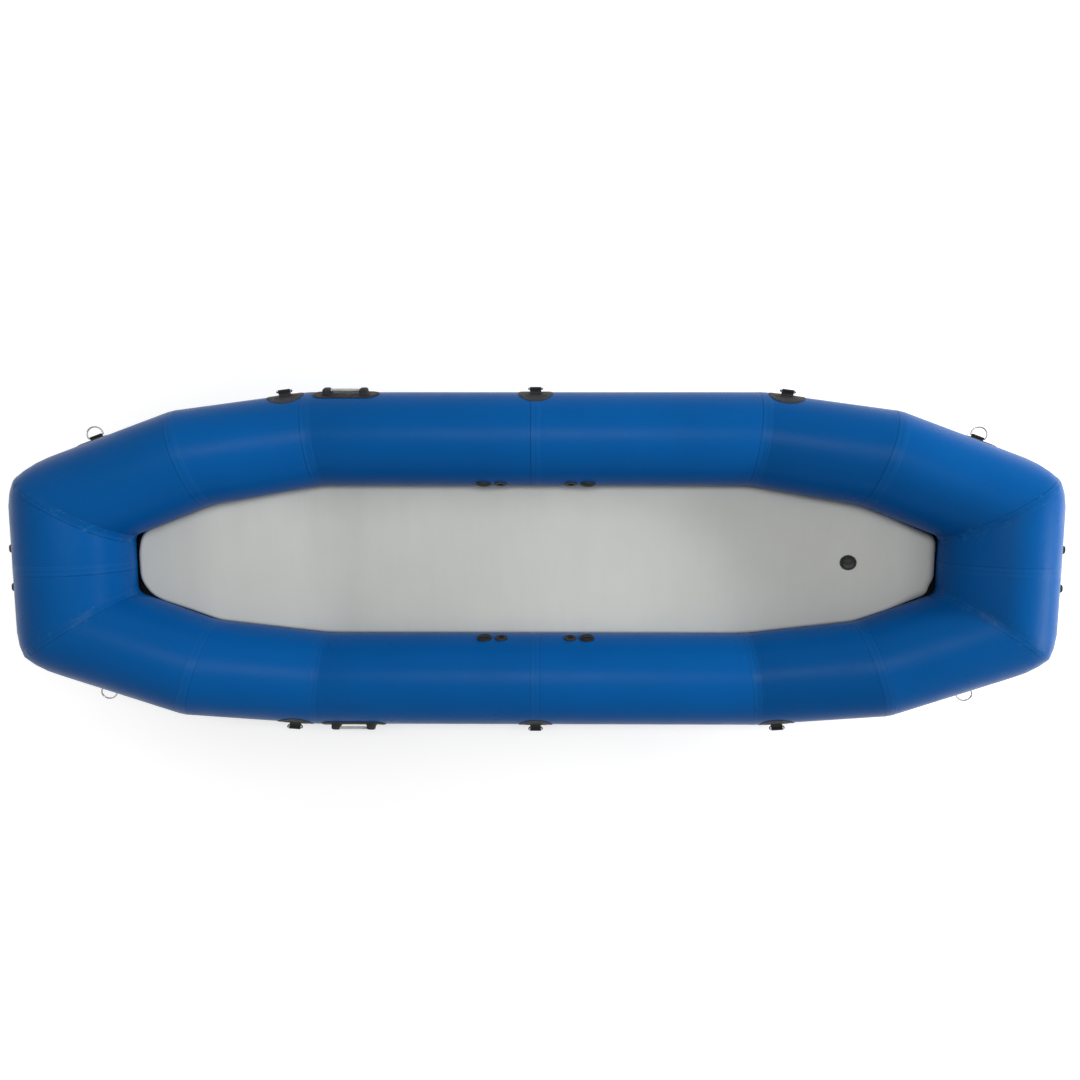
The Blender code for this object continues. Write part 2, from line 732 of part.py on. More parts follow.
def ring_path():
    """Centre line of the D: a straight side along X and a bow that reaches along Y."""
    path = [(-RING_HALF_WIDTH + RING_CORNER, 0), (RING_HALF_WIDTH - RING_CORNER, 0)]
    bend = RING_CORNER * (1 - math.cos(math.pi / 4))
    path.append((RING_HALF_WIDTH - bend, bend))
    for step in range(RING_ARC_STEPS + 1):
        turn = math.pi * step / RING_ARC_STEPS
        path.append((RING_HALF_WIDTH * math.cos(turn),
                     RING_LEG + (RING_REACH - RING_LEG) * math.sin(turn)))
    path.append((-RING_HALF_WIDTH + bend, bend))
    return [Vector((x, y, 0)) for x, y in path]


def ring_mesh():
    """Closed D of round wire."""
    path = ring_path()
    count = len(path)
    sections = []
    for index, point in enumerate(path):
        arriving = (point - path[index - 1]).normalized()
        leaving = (path[(index + 1) % count] - point).normalized()
        outward = (arriving + leaving).normalized().cross(UP)
        half_turn = arriving.angle(leaving) / 2
        section = []
        for step in range(WIRE_STEPS):
            turn = math.tau * step / WIRE_STEPS
            section.append(point + outward * (WIRE_RADIUS * math.cos(turn) / math.cos(half_turn))
                           + UP * (WIRE_RADIUS * math.sin(turn)))
        sections.append(section)
    return loft("d_ring", sections, closed=True)


def ring_places():
    """Each D-ring's name, panel, place along it, elevation and whether it stands out."""
    places = []
    for side in ("port", "starboard"):
        panel = PANELS[f"side_panel_{side}"]
        places.append((f"mid_{side}", panel, panel.length / 2, SIDE_RING_ELEVATION, False))
        for end in ("bow", "stern"):
            shoulder = PANELS[f"{end}_shoulder_panel_{side}"]
            quarter = PANELS[f"{end}_quarter_panel_{side}"]
            leads_out = abs(shoulder.start.x) < abs(shoulder.end.x)
            setback = SHOULDER_RING_SETBACK
            share = END_RING_SHARE
            if not leads_out:
                setback = shoulder.length - setback
                share = 1 - share
            places.append((f"{end}_shoulder_{side}", shoulder, setback,
                           SIDE_RING_ELEVATION, False))
            places.append((f"{end}_quarter_{side}", quarter, quarter.length * share,
                           END_RING_ELEVATION, True))
    return places


def ring_frame(panel, mount_frame, elevation, stands_out):
    """Frame on the axis of a D-ring's straight side, with Y along the ring's reach."""
    reach = panel.outward(elevation) if stands_out else -panel.up
    origin = mount_frame @ Vector((0, 0, PATCH + LOOP_HEIGHT))
    return matrix_of(panel.direction, reach, panel.direction.cross(reach), origin)


def make_rings():
    """Ten patches with webbing loops, and the D-rings that swing in them."""
    ring = ring_mesh()
    mounts = {}
    for place, panel, along, elevation, stands_out in ring_places():
        if elevation not in mounts:
            mounts[elevation] = ring_mount_mesh(elevation)
        mesh, height = mounts[elevation]
        frame = panel.frame(along, elevation, height)
        add(f"ring_mount_{place}", mesh, "black_rubber", frame)
        add(f"d_ring_{place}", ring, "steel", ring_frame(panel, frame, elevation, stands_out))


def stadium(half_length, half_width, steps):
    """Outline of a patch with straight sides and round ends."""
    outline = []
    for side in (1, -1):
        for step in range(steps + 1):
            turn = math.pi * step / steps - math.pi / 2
            reach = half_length - half_width + half_width * math.cos(turn)
            outline.append((side * reach, side * half_width * math.sin(turn)))
    return outline


def lug_mesh(centre_x):
    """Raised end of the handle, narrower at its top."""
    rings = []
    for height, inset in ((HANDLE_BASE * FOOT_SHARE, 0), (HANDLE_BASE + LUG_HEIGHT / 2, 0),
                          (HANDLE_BASE + LUG_HEIGHT, LUG_TAPER)):
        rings.append([(centre_x + x_side * (LUG_HALF_LENGTH - inset),
                       y_side * (LUG_HALF_WIDTH - inset), height)
                      for x_side, y_side in ((1, 1), (-1, 1), (-1, -1), (1, -1))])
    return loft("lug", rings)


def handle_mesh(elevation, over_tape):
    """Carry handle on a patch that hugs the tube, and the height it sits at."""
    outline = stadium(HANDLE_HALF_LENGTH, HANDLE_HALF_WIDTH, HANDLE_END_STEPS)
    mesh, height = hugging_patch("carry_handle", outline, elevation, HANDLE_BASE, over_tape)
    grip = turned("grip", [(0, -LUG_SPREAD), (GRIP_RADIUS, -LUG_SPREAD),
                           (GRIP_RADIUS, LUG_SPREAD), (0, LUG_SPREAD)], GRIP_STEPS)
    grip.transform(Matrix.Translation((0, 0, HANDLE_BASE + GRIP_HEIGHT))
                   @ Matrix.Rotation(math.pi / 2, 4, "Y"))
    for part in (lug_mesh(LUG_SPREAD), lug_mesh(-LUG_SPREAD), grip):
        mesh = combined(mesh, part, "UNION")
    return mesh, height


def make_handles():
    """A handle on each side near the stern, and one across each end."""
    mesh, height = handle_mesh(SIDE_HANDLE_ELEVATION, False)
    for side in ("port", "starboard"):
        panel = PANELS[f"side_panel_{side}"]
        along = SIDE_HANDLE_SETBACK
        if panel.start.x > 0:
            along = panel.length - SIDE_HANDLE_SETBACK
        add(f"carry_handle_{side}", mesh, "black_rubber",
            panel.frame(along, SIDE_HANDLE_ELEVATION, height))
    mesh, height = handle_mesh(END_HANDLE_ELEVATION, True)
    for end in ("bow", "stern"):
        panel = PANELS[f"{end}_end_panel"]
        add(f"carry_handle_{end}", mesh, "black_rubber",
            panel.frame(panel.length / 2, END_HANDLE_ELEVATION, height))


def main():
    """Clear the scene and build the raft."""
    for leftover in list(bpy.data.objects):
        bpy.data.objects.remove(leftover)
    make_tube_panels()
    make_baffles()
    make_floor()
    make_bottom_sheet()
    make_valves()
    make_rings()
    make_handles()


main()
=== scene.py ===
"""Looks of the whitewater raft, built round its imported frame.

Metres, +X to the bow, +Y to port, +Z up. The places of the tube's corners, the floor's sides
and the valves repeat those of the frame, so that every piece sits where its solid does.
"""

import json
import math

import bmesh
import bpy
import numpy as np
from mathutils import Matrix, Vector, noise
from mathutils.kdtree import KDTree


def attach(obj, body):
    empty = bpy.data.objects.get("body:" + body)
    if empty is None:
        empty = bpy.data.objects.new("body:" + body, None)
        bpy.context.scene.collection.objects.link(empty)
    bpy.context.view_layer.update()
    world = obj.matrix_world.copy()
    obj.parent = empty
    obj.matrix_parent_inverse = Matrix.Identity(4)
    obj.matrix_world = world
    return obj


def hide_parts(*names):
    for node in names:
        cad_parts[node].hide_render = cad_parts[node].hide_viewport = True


bl_info = {
    "name": "Whitewater raft looks",
    "version": (1, 0, 0),
    "blender": (4, 5, 0),
    "location": "3D View > Sidebar > Raft",
    "description": "Builds the visible pieces of an inflatable river raft",
    "category": "Object",
}

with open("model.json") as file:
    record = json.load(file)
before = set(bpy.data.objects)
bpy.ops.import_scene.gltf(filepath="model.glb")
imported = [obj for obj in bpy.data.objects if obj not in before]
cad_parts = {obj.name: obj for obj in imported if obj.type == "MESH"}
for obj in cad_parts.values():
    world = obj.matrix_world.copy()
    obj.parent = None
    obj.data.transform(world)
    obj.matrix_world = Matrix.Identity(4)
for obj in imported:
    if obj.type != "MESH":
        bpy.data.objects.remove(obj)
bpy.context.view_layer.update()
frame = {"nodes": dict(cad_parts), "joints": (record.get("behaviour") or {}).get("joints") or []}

UP = np.array((0.0, 0.0, 1.0))

# Corners of the tube's centre line: reach, half beam, and rise above the tube's middle
TUBE_CENTRE = 0.2041
MIDDLE_CORNER = (0.977, 0.541, 0.0)
SHOULDER_CORNER = (1.445, 0.446, 0.148)
END_CORNER = (1.896, 0.253, 0.2245)

# Floor: where its sides bend, each an x and a half width, and the ends' small corners
FLOOR_SIDE = ((0.857, 0.3404), (0.917, 0.3398), (0.977, 0.3365), (1.037, 0.3262),
              (1.097, 0.3146), (1.395, 0.2541), (1.445, 0.2322), (1.495, 0.2103))
FLOOR_BOW = ((1.6768, 0.1325), (1.6902, 0.1234), (1.6991, 0.1098), (1.7023, 0.0939))
FLOOR_STERN = ((1.6568, 0.1411), (1.6702, 0.1319), (1.6791, 0.1184), (1.6823, 0.1025))
FLOOR_MIDDLE_TOP = 0.1491
FLOOR_THICKNESS = 0.100
FLOOR_SPINE = 1.58
FLOOR_BENDS = ((0.977, 0.120, 0.31624), (1.445, 0.050, -0.14662))
FLOOR_POINTS = 780

# Floor as it lies in the tube: where its ends begin and ease in, how far each is pressed
# outwards, how much further the stern is on its starboard side and where that eases in
PRESSED_X = 1.45
PRESSED_SPAN = 0.22
BOW_PRESS = 0.012
STERN_PRESS = 0.006
STARBOARD_PRESS = 0.011
STARBOARD_Y = 0.13
STARBOARD_SPAN = 0.10

# Corners that hang back (place, way inwards, width), the slack of the stern's starboard side
# and where it eases in, and where the softer bow edge does
SLACK_CORNERS = (((-1.675, -0.125), (0.014, 0.014), 0.050),
                 ((1.700, -0.105), (-0.013, 0.009), 0.034))
SLACK_SIDE = 0.005
SLACK_X = 1.36
SLACK_SPAN = 0.26
SOFT_EDGE_X = 1.50
SOFT_EDGE_SPAN = 0.16

# Floor's creases where it bends: length in from its sides, place and spread along X, radians
# of their wave per metre, and their share at the bow; then its broad waves and its faint ribs
CREASE_LENGTH = 0.17
CREASE_X = 1.035
CREASE_SPAN = 0.045
CREASE_PITCH = 330
BOW_CREASE = 0.45
WIDE_WAVE = 0.0005
RIB_PITCH = 62
RIB_WAVE = 0.00022

# Sheet under the floor: how far off its solid's rows are matched, and its height below them
SHEET_MATCH = 2e-4
SHEET_DROP = 0.0003

# Valves: distance of a seat from the tube's axis, its angle, its place along X, and the height
# of the moving piece's origin above it
VALVE_SEAT = 0.2038
VALVE_ELEVATION = math.radians(165)
VALVE_X = {"inflation": 0.229, "relief": 0.154}
CAP_LIFT = 0.0023
POPPET_LIFT = -0.0027

# Cloth at a valve: how far below the seat it still belongs to it, margin round the flange,
# width of the easing, depth below the seat, and how far under the flange the cloth reaches
SEAT_FACING = 0.05
SEAT_MARGIN = 0.001
SEAT_EASE = 0.018
SEAT_DEPTH = 0.0004
SEAT_HOLE = 0.009

# Rings and handles: the frame seats its mounts on a tube of flat facets
TAPED_RADIUS = 0.2044
FACET = math.radians(15)
RING_AXIS_RISE = 0.021
SIDE_RING_ELEVATION = math.radians(24)
SHOULDER_RING_SETBACK = 0.080
QUARTER_RING_SHARE = 0.62
SIDE_HANDLE_SETBACK = 0.167
SIDE_HANDLE_ELEVATION = math.radians(26)
END_HANDLE_ELEVATION = math.radians(15)

# Tube nets: points round a panel and a tape, rows along a panel and a side panel, finer rows
# and degrees at a valve, and steps away from a seam at which the cloth has a row
AROUND_PANEL = 112
AROUND_TAPE = 160
PANEL_ROWS = 12
SIDE_PANEL_ROWS = 44
VALVE_STEPS = np.linspace(-0.056, 0.056, 15)
VALVE_DEGREES = 14
NEAR_STEPS = np.array((0.0, 0.0015, 0.004, 0.007, 0.011, 0.015, 0.019, 0.0215, 0.024, 0.028,
                       0.033, 0.040, 0.050, 0.060))

# Cloth beside a seam: reach of its puckers, what a bend adds to them, their waves as pitch and
# share, reach of the gathers, the bend at which they start and the span over which they grow
PUCKER_REACH = 0.024
PUCKER_BEND_SHARE = 0.3
PUCKER_WAVES = ((42.0, 1.0), (95.0, 0.4))
GATHER_REACH = 0.030
GATHER_BEND = 0.15
GATHER_BEND_SPAN = 0.4

# Half of a tape's cross-section: distance from its middle and height as a share of its own
TAPE_STEPS = ((0.0, 1.0), (0.10, 1.0), (0.30, 1.0), (0.55, 1.0), (0.80, 1.0), (0.93, 1.0),
              (0.975, 0.85), (0.995, 0.3), (1.0, -0.6))
TAPE_UNDER_STEPS = (1.0, 0.6, 0.25, 0.0)
TAPE_UNDER = -0.8

BAFFLE_RADIUS = 0.2014
BAFFLE_BULGE = 0.020
BAFFLE_HALF_THICKNESS = 0.0005

# Height of a patch's underside, sunk a little into the tube's cloth
PATCH_UNDER = -0.0003

# Webbing: half its thickness, how round its edges are, and the bend of its middle round the
# ring; its stitches: half length and radius, and the places of those in a row
WEBBING_HALF_THICKNESS = 0.0011
WEBBING_ROUND = 0.0006
WEBBING_BEND = 0.0046
STITCH_SIZE = (0.0018, 0.00045)
STITCH_PLACES = np.linspace(-0.0195, 0.0195, 9)

# Weld on the ring's straight side
WELD_X = 0.012
WELD_SPAN = 0.0018
WELD_HEIGHT = 0.0003

# Handle: place of each lug, its steps (half length, half width, foot, top, squareness), and
# the grip's half length, height over the tube, ribs and swell
LUG_PLACE = 0.078
LUG_STEPS = ((0.0215, 0.0245, 0.0012, 0.0068, 3.6), (0.0190, 0.0220, 0.0012, 0.0140, 3.8),
             (0.0178, 0.0205, 0.0100, 0.0256, 3.8))
GRIP_HALF = 0.070
GRIP_HEIGHT = 0.0178
GRIP_RIB_STEP = 0.0066
GRIP_RIB_DEPTH = 0.0006
GRIP_SWELL = 0.0004

# Patterns: range that noise mostly fills, length of the wave texture at a scale of one, and
# pitch of the cloth's threads, of the floor's drop threads and of the gathers' folds
NOISE_RANGE = (0.3, 0.7)
WAVE_LENGTH = 0.31416
THREAD_PITCH = 0.0014
DROP_THREAD_PITCH = 0.0068
FOLD_PITCH = 0.0075

# Blues of scuffs, of the painted highlight along a tape's edge, of the painted highlight lines
# inside a tape's edges and of the painted highlights on gathered cloth
SCUFF_BLUE = (0.012, 0.130, 0.390, 1.0)
EDGE_HIGHLIGHT_BLUE = (0.04, 0.22, 0.50, 1.0)
INNER_HIGHLIGHT_BLUE = (0.04, 0.20, 0.46, 1.0)
FOLD_HIGHLIGHT_BLUE = (0.07, 0.34, 0.66, 1.0)

GROUND_HALF = 30.0
GROUND_HEIGHT = -0.0012

# Lights: whether the raft reflects it, its place, the point it is turned to, size and colour
LIGHTS = {
    "ceiling": (True, (0.20, 1.15, 4.8), (0.20, 0.0, 0.2), (4.0, 0.9), (1.0, 0.99, 0.97)),
    "doorway": (False, (6.2, 1.9, 2.9), (0.0, 0.0, 0.3), (3.4, 1.3), (0.97, 0.985, 1.0)),
    "gleam": (True, (7.0, -1.2, 2.9), (0.0, 0.0, 0.4), (2.0, 1.1), (0.97, 0.985, 1.0)),
}

# Camera of the photograph
CAMERA_PLACE = (0.032, 0.297, 2.845)
CAMERA_TURN = (-4.43, 0.29, 0.05)
CAMERA_LENS = 19.61
SENSOR = 36.0


class RaftTubeSettings(bpy.types.PropertyGroup):
    """Sizes and colours of the hull tube."""

    radius: bpy.props.FloatProperty(
        name="Tube radius", description="Radius of the inflated tube over its cloth",
        default=0.2036, unit="LENGTH")
    skin: bpy.props.FloatProperty(
        name="Cloth", description="Thickness of the tube's coated cloth",
        default=0.0012, unit="LENGTH")
    tape: bpy.props.FloatProperty(
        name="Tape", description="Thickness of the seam tape",
        default=0.0006, unit="LENGTH")
    tape_half_width: bpy.props.FloatProperty(
        name="Tape half width", description="Half the width of the seam tape",
        default=0.020, unit="LENGTH")
    fold: bpy.props.FloatProperty(
        name="Fold", description="Length over which the cloth eases into a seam",
        default=0.024, unit="LENGTH")
    ridge: bpy.props.FloatProperty(
        name="Ridge", description="Length over which it eases round the outside of a square bend",
        default=0.175, unit="LENGTH")
    pucker: bpy.props.FloatProperty(
        name="Pucker", description="Height of the small puckers beside the sharpest seams",
        default=0.0034, unit="LENGTH")
    colour: bpy.props.FloatVectorProperty(
        name="Tube colour", description="Colour of the tube's cloth",
        default=(0.0014, 0.086, 0.306), subtype="COLOR", min=0, max=1)
    tape_colour: bpy.props.FloatVectorProperty(
        name="Tape colour", description="Colour of the seam tape",
        default=(0.0015, 0.087, 0.308), subtype="COLOR", min=0, max=1)


class RaftFloorSettings(bpy.types.PropertyGroup):
    """Sizes and colours of the floor and the sheet under it."""

    edge: bpy.props.FloatProperty(
        name="Edge radius", description="Radius of the floor's rounded edges",
        default=0.016, unit="LENGTH")
    bow_edge: bpy.props.FloatProperty(
        name="Bow edge radius", description="Radius of the softer edge at the bow end",
        default=0.046, unit="LENGTH")
    swell: bpy.props.FloatProperty(
        name="Swell", description="How far the hard floor swells against the tube",
        default=0.0085, unit="LENGTH")
    ripple: bpy.props.FloatProperty(
        name="Ripple", description="Height of the wrinkles where the floor bends",
        default=0.0014, unit="LENGTH")
    colour: bpy.props.FloatVectorProperty(
        name="Floor colour", description="Colour of the floor's coated cloth",
        default=(0.585, 0.592, 0.560), subtype="COLOR", min=0, max=1)
    sheet: bpy.props.FloatProperty(
        name="Sheet", description="Thickness of the sheet under the floor",
        default=0.0012, unit="LENGTH")
    sheet_colour: bpy.props.FloatVectorProperty(
        name="Sheet colour", description="Colour of the black cloth",
        default=(0.012, 0.012, 0.014), subtype="COLOR", min=0, max=1)


class RaftValveSettings(bpy.types.PropertyGroup):
    """Sizes and colour of the valves."""

    flange_radius: bpy.props.FloatProperty(
        name="Flange radius", description="Radius of the inflation valve's flange",
        default=0.0333, unit="LENGTH")
    relief_radius: bpy.props.FloatProperty(
        name="Relief radius", description="Radius of the relief valve's flange",
        default=0.0280, unit="LENGTH")
    ribs: bpy.props.IntProperty(
        name="Ribs", description="Small ribs round each flange", default=24)
    colour: bpy.props.FloatVectorProperty(
        name="Valve colour", description="Colour of the moulded valves",
        default=(0.011, 0.011, 0.013), subtype="COLOR", min=0, max=1)


class RaftRingSettings(bpy.types.PropertyGroup):
    """Sizes and colours of the D-rings and their mounts."""

    wire: bpy.props.FloatProperty(
        name="Wire radius", description="Radius of the ring's wire",
        default=0.003, unit="LENGTH")
    patch_radius: bpy.props.FloatProperty(
        name="Patch radius", description="Radius of the round patch",
        default=0.076, unit="LENGTH")
    webbing_half_width: bpy.props.FloatProperty(
        name="Webbing half width", description="Half the width of the webbing loop",
        default=0.024, unit="LENGTH")
    patch_colour: bpy.props.FloatVectorProperty(
        name="Patch colour", description="Colour of the rubber patches",
        default=(0.021, 0.022, 0.024), subtype="COLOR", min=0, max=1)
    webbing_colour: bpy.props.FloatVectorProperty(
        name="Webbing colour", description="Colour of the webbing",
        default=(0.007, 0.007, 0.008), subtype="COLOR", min=0, max=1)
    steel_colour: bpy.props.FloatVectorProperty(
        name="Steel colour", description="Colour of the stainless wire",
        default=(0.36, 0.365, 0.38), subtype="COLOR", min=0, max=1)


class RaftHandleSettings(bpy.types.PropertyGroup):
    """Sizes and colours of the carry handles."""

    half_length: bpy.props.FloatProperty(
        name="Base half length", description="Half the length of the handle's base",
        default=0.143, unit="LENGTH")
    half_width: bpy.props.FloatProperty(
        name="Base half width", description="Half the width of the handle's base",
        default=0.045, unit="LENGTH")
    grip_radius: bpy.props.FloatProperty(
        name="Grip radius", description="Radius of the grip between the lugs",
        default=0.006, unit="LENGTH")
    colour: bpy.props.FloatVectorProperty(
        name="Handle colour", description="Colour of the moulded handles",
        default=(0.014, 0.014, 0.016), subtype="COLOR", min=0, max=1)
    grip_colour: bpy.props.FloatVectorProperty(
        name="Grip colour", description="Colour of the polished grip",
        default=(0.46, 0.465, 0.47), subtype="COLOR", min=0, max=1)


class RaftStageSettings(bpy.types.PropertyGroup):
    """Light and ground of the picture."""

    sky: bpy.props.FloatProperty(
        name="Sky", description="Strength of the light from all round", default=0.28)
    ceiling: bpy.props.FloatProperty(
        name="Ceiling light", description="Power of the long light overhead",
        default=98.0, unit="POWER")
    doorway: bpy.props.FloatProperty(
        name="Doorway light", description="Power of the broad light beyond the bow",
        default=320.0, unit="POWER")
    gleam: bpy.props.FloatProperty(
        name="Gleam light", description="Power of the smaller light that the ends reflect",
        default=110.0, unit="POWER")
    ground_colour: bpy.props.FloatVectorProperty(
        name="Ground colour", description="Colour of the ground",
        default=(0.66, 0.66, 0.66), subtype="COLOR", min=0, max=1)


def unit(vectors):
    """Vectors scaled to a length of one."""
    return vectors / np.linalg.norm(vectors, axis=-1, keepdims=True)


def smooth_step(value):
    """Ease from 0 to 1."""
    value = np.clip(value, 0.0, 1.0)
    return value * value * (3.0 - 2.0 * value)


def round_angles(count):
    """Evenly spaced angles once round."""
    return np.arange(count) * math.tau / count


def evenly_spaced(line, count, closed=True):
    """Points evenly spaced along a flat line, and the length from its start to each."""
    line = np.asarray(line)
    if closed:
        line = np.concatenate([line, line[:1]])
    lengths = np.concatenate([[0], np.cumsum(np.linalg.norm(np.diff(line, axis=0), axis=1))])
    wanted = np.linspace(0, lengths[-1], count)
    if closed:
        wanted = np.arange(count) * lengths[-1] / count
    return np.stack([np.interp(wanted, lengths, line[:, axis]) for axis in (0, 1)], -1), wanted


def soft_outline(half_length, half_width, power=2.0, steps=128):
    """Outline that goes from an ellipse, at power 2, towards a rectangle."""
    angle = round_angles(steps)
    along, across = np.cos(angle), np.sin(angle)
    return np.stack([half_length * np.sign(along) * np.abs(along) ** (2 / power),
                     half_width * np.sign(across) * np.abs(across) ** (2 / power)], -1)


class TubePanel:
    """A straight run of the hull tube between two corners of its centre line."""

    def __init__(self, name, before, start, end, after):
        self.name = name
        self.start = start
        self.length = float(np.linalg.norm(end - start))
        self.direction = unit(end - start)
        self.side = unit(np.cross(UP, self.direction))
        self.up = np.cross(self.direction, self.side)
        self.corners = ((start, unit(start - before)), (end, unit(after - end)))
        self.has_baffle = "end" in name or "side" in name

    def outward(self, angle):
        """Direction square to the tube, at an angle above its outer side."""
        angle = np.asarray(angle)[..., None]
        return self.side * np.cos(angle) + self.up * np.sin(angle)

    def cut(self, angle, at_end, radius):
        """Distance along the panel at which its seam lies, at each angle."""
        corner, neighbour = self.corners[at_end]
        normal = unit(self.direction + neighbour)
        spoke = self.outward(angle) * radius
        return ((corner - self.start - spoke) @ normal) / (self.direction @ normal)

    def seam(self, angle, at_end, radius):
        """Each seam point, the direction both panels share there and the slope between them."""
        corner, neighbour = self.corners[at_end]
        own = self.outward(angle)
        along = self.cut(angle, at_end, radius)[..., None]
        point = self.start + own * radius + self.direction * along
        reach = point - corner
        other = unit(reach - (reach @ neighbour)[..., None] * neighbour)
        slope = (other @ self.direction) * (1 if at_end else -1)
        return point, unit(own + other), np.clip(slope, -1, 1)

    def angle_of(self, points):
        """Angle round this panel of points near its surface."""
        reach = points - self.start
        return np.arctan2(reach @ self.up, reach @ self.side)

    def surface(self, along, angle, height=0.0):
        """Points on the tube's cloth, eased over its two seams and puckered beside them."""
        tube = bpy.context.scene.raft_tube
        own = self.outward(angle)
        normal = np.broadcast_to(own, np.shape(along) + (3,))
        moved = np.zeros(np.shape(along) + (3,))
        for at_end in (False, True):
            point, shared, slope = self.seam(angle, at_end, tube.radius)
            fold = np.arcsin(slope) / 2
            width = tube.fold + (tube.ridge - tube.fold) * np.clip(slope, 0, 1) ** 2
            cut = self.cut(angle, at_end, tube.radius)
            gap = cut - along if at_end else along - cut
            near = np.clip(1 - gap * np.cos(fold) / width, 0, 1) ** 2
            normal = normal + (shared - own) * near[..., None]
            share = slope ** 2 + PUCKER_BEND_SHARE * self.bend(at_end)
            pucker = tube.pucker * share * seam_noise(point) * np.exp(-(gap / PUCKER_REACH) ** 2)
            eased = -(width * np.tan(fold) / 2) * near
            moved = moved + shared * (eased + pucker)[..., None]
        base = self.start + self.direction * along[..., None] + own * tube.radius
        return base + moved + unit(normal) * np.asarray(height)[..., None]

    def bend(self, at_end):
        """Sharpness of the bend at one end, 0 where the panels run straight on."""
        return float(1 - self.direction @ self.corners[at_end][1])

    def gathering(self, at_end):
        """How much the cloth gathers at one end, 0 at an open bend and 1 at a sharp one."""
        return float(smooth_step((self.bend(at_end) - GATHER_BEND) / GATHER_BEND_SPAN))

    def gathers(self, along, angle):
        """Share of gathered cloth at points beside the sharp corner seams."""
        radius = bpy.context.scene.raft_tube.radius
        share = np.zeros(np.shape(along))
        for at_end in (False, True):
            gap = np.abs(self.cut(angle, at_end, radius) - along)
            near = np.exp(-(gap / GATHER_REACH) ** 2)
            share = np.maximum(share, self.gathering(at_end) * near)
        return share

    def frame(self, along, elevation, height):
        """Frame on the panel: X along the tube and Z square out of it."""
        normal = self.outward(elevation)
        origin = self.start + self.direction * along + normal * height
        return frame_of(self.direction, np.cross(normal, self.direction), normal, origin)


def seam_noise(points):
    """Small uneven waves at points on a seam, the same from both of its sides."""
    waves = [sum(share * noise.noise(Vector(point) * pitch) for pitch, share in PUCKER_WAVES)
             for point in points.reshape(-1, 3)]
    return np.array(waves).reshape(points.shape[:-1])


def frame_of(x_axis, y_axis, z_axis, origin):
    """Matrix whose columns are three axes and an origin."""
    matrix = Matrix.Identity(4)
    for column, vector in enumerate((x_axis, y_axis, z_axis, origin)):
        for row in range(3):
            matrix[row][column] = float(vector[row])
    return matrix


def hull_panels():
    """The twelve panels, clockwise from above, starting along the port side."""
    corners = []
    for bow, port, turn in ((1, 1, 1), (1, -1, -1), (-1, -1, 1), (-1, 1, -1)):
        for reach, half_beam, rise in (MIDDLE_CORNER, SHOULDER_CORNER, END_CORNER)[::turn]:
            corners.append(np.array((bow * reach, port * half_beam, TUBE_CENTRE + rise)))
    names = []
    for end_name, sides in (("bow", ("port", "starboard")), ("stern", ("starboard", "port"))):
        names += [f"{end_name}_shoulder_panel_{sides[0]}", f"{end_name}_quarter_panel_{sides[0]}",
                  f"{end_name}_end_panel", f"{end_name}_quarter_panel_{sides[1]}",
                  f"{end_name}_shoulder_panel_{sides[1]}", f"side_panel_{sides[1]}"]
    count = len(corners)
    return {name: TubePanel(name, *(corners[(index + shift) % count] for shift in (-1, 0, 1, 2)))
            for index, name in enumerate(names)}


PANELS = hull_panels()


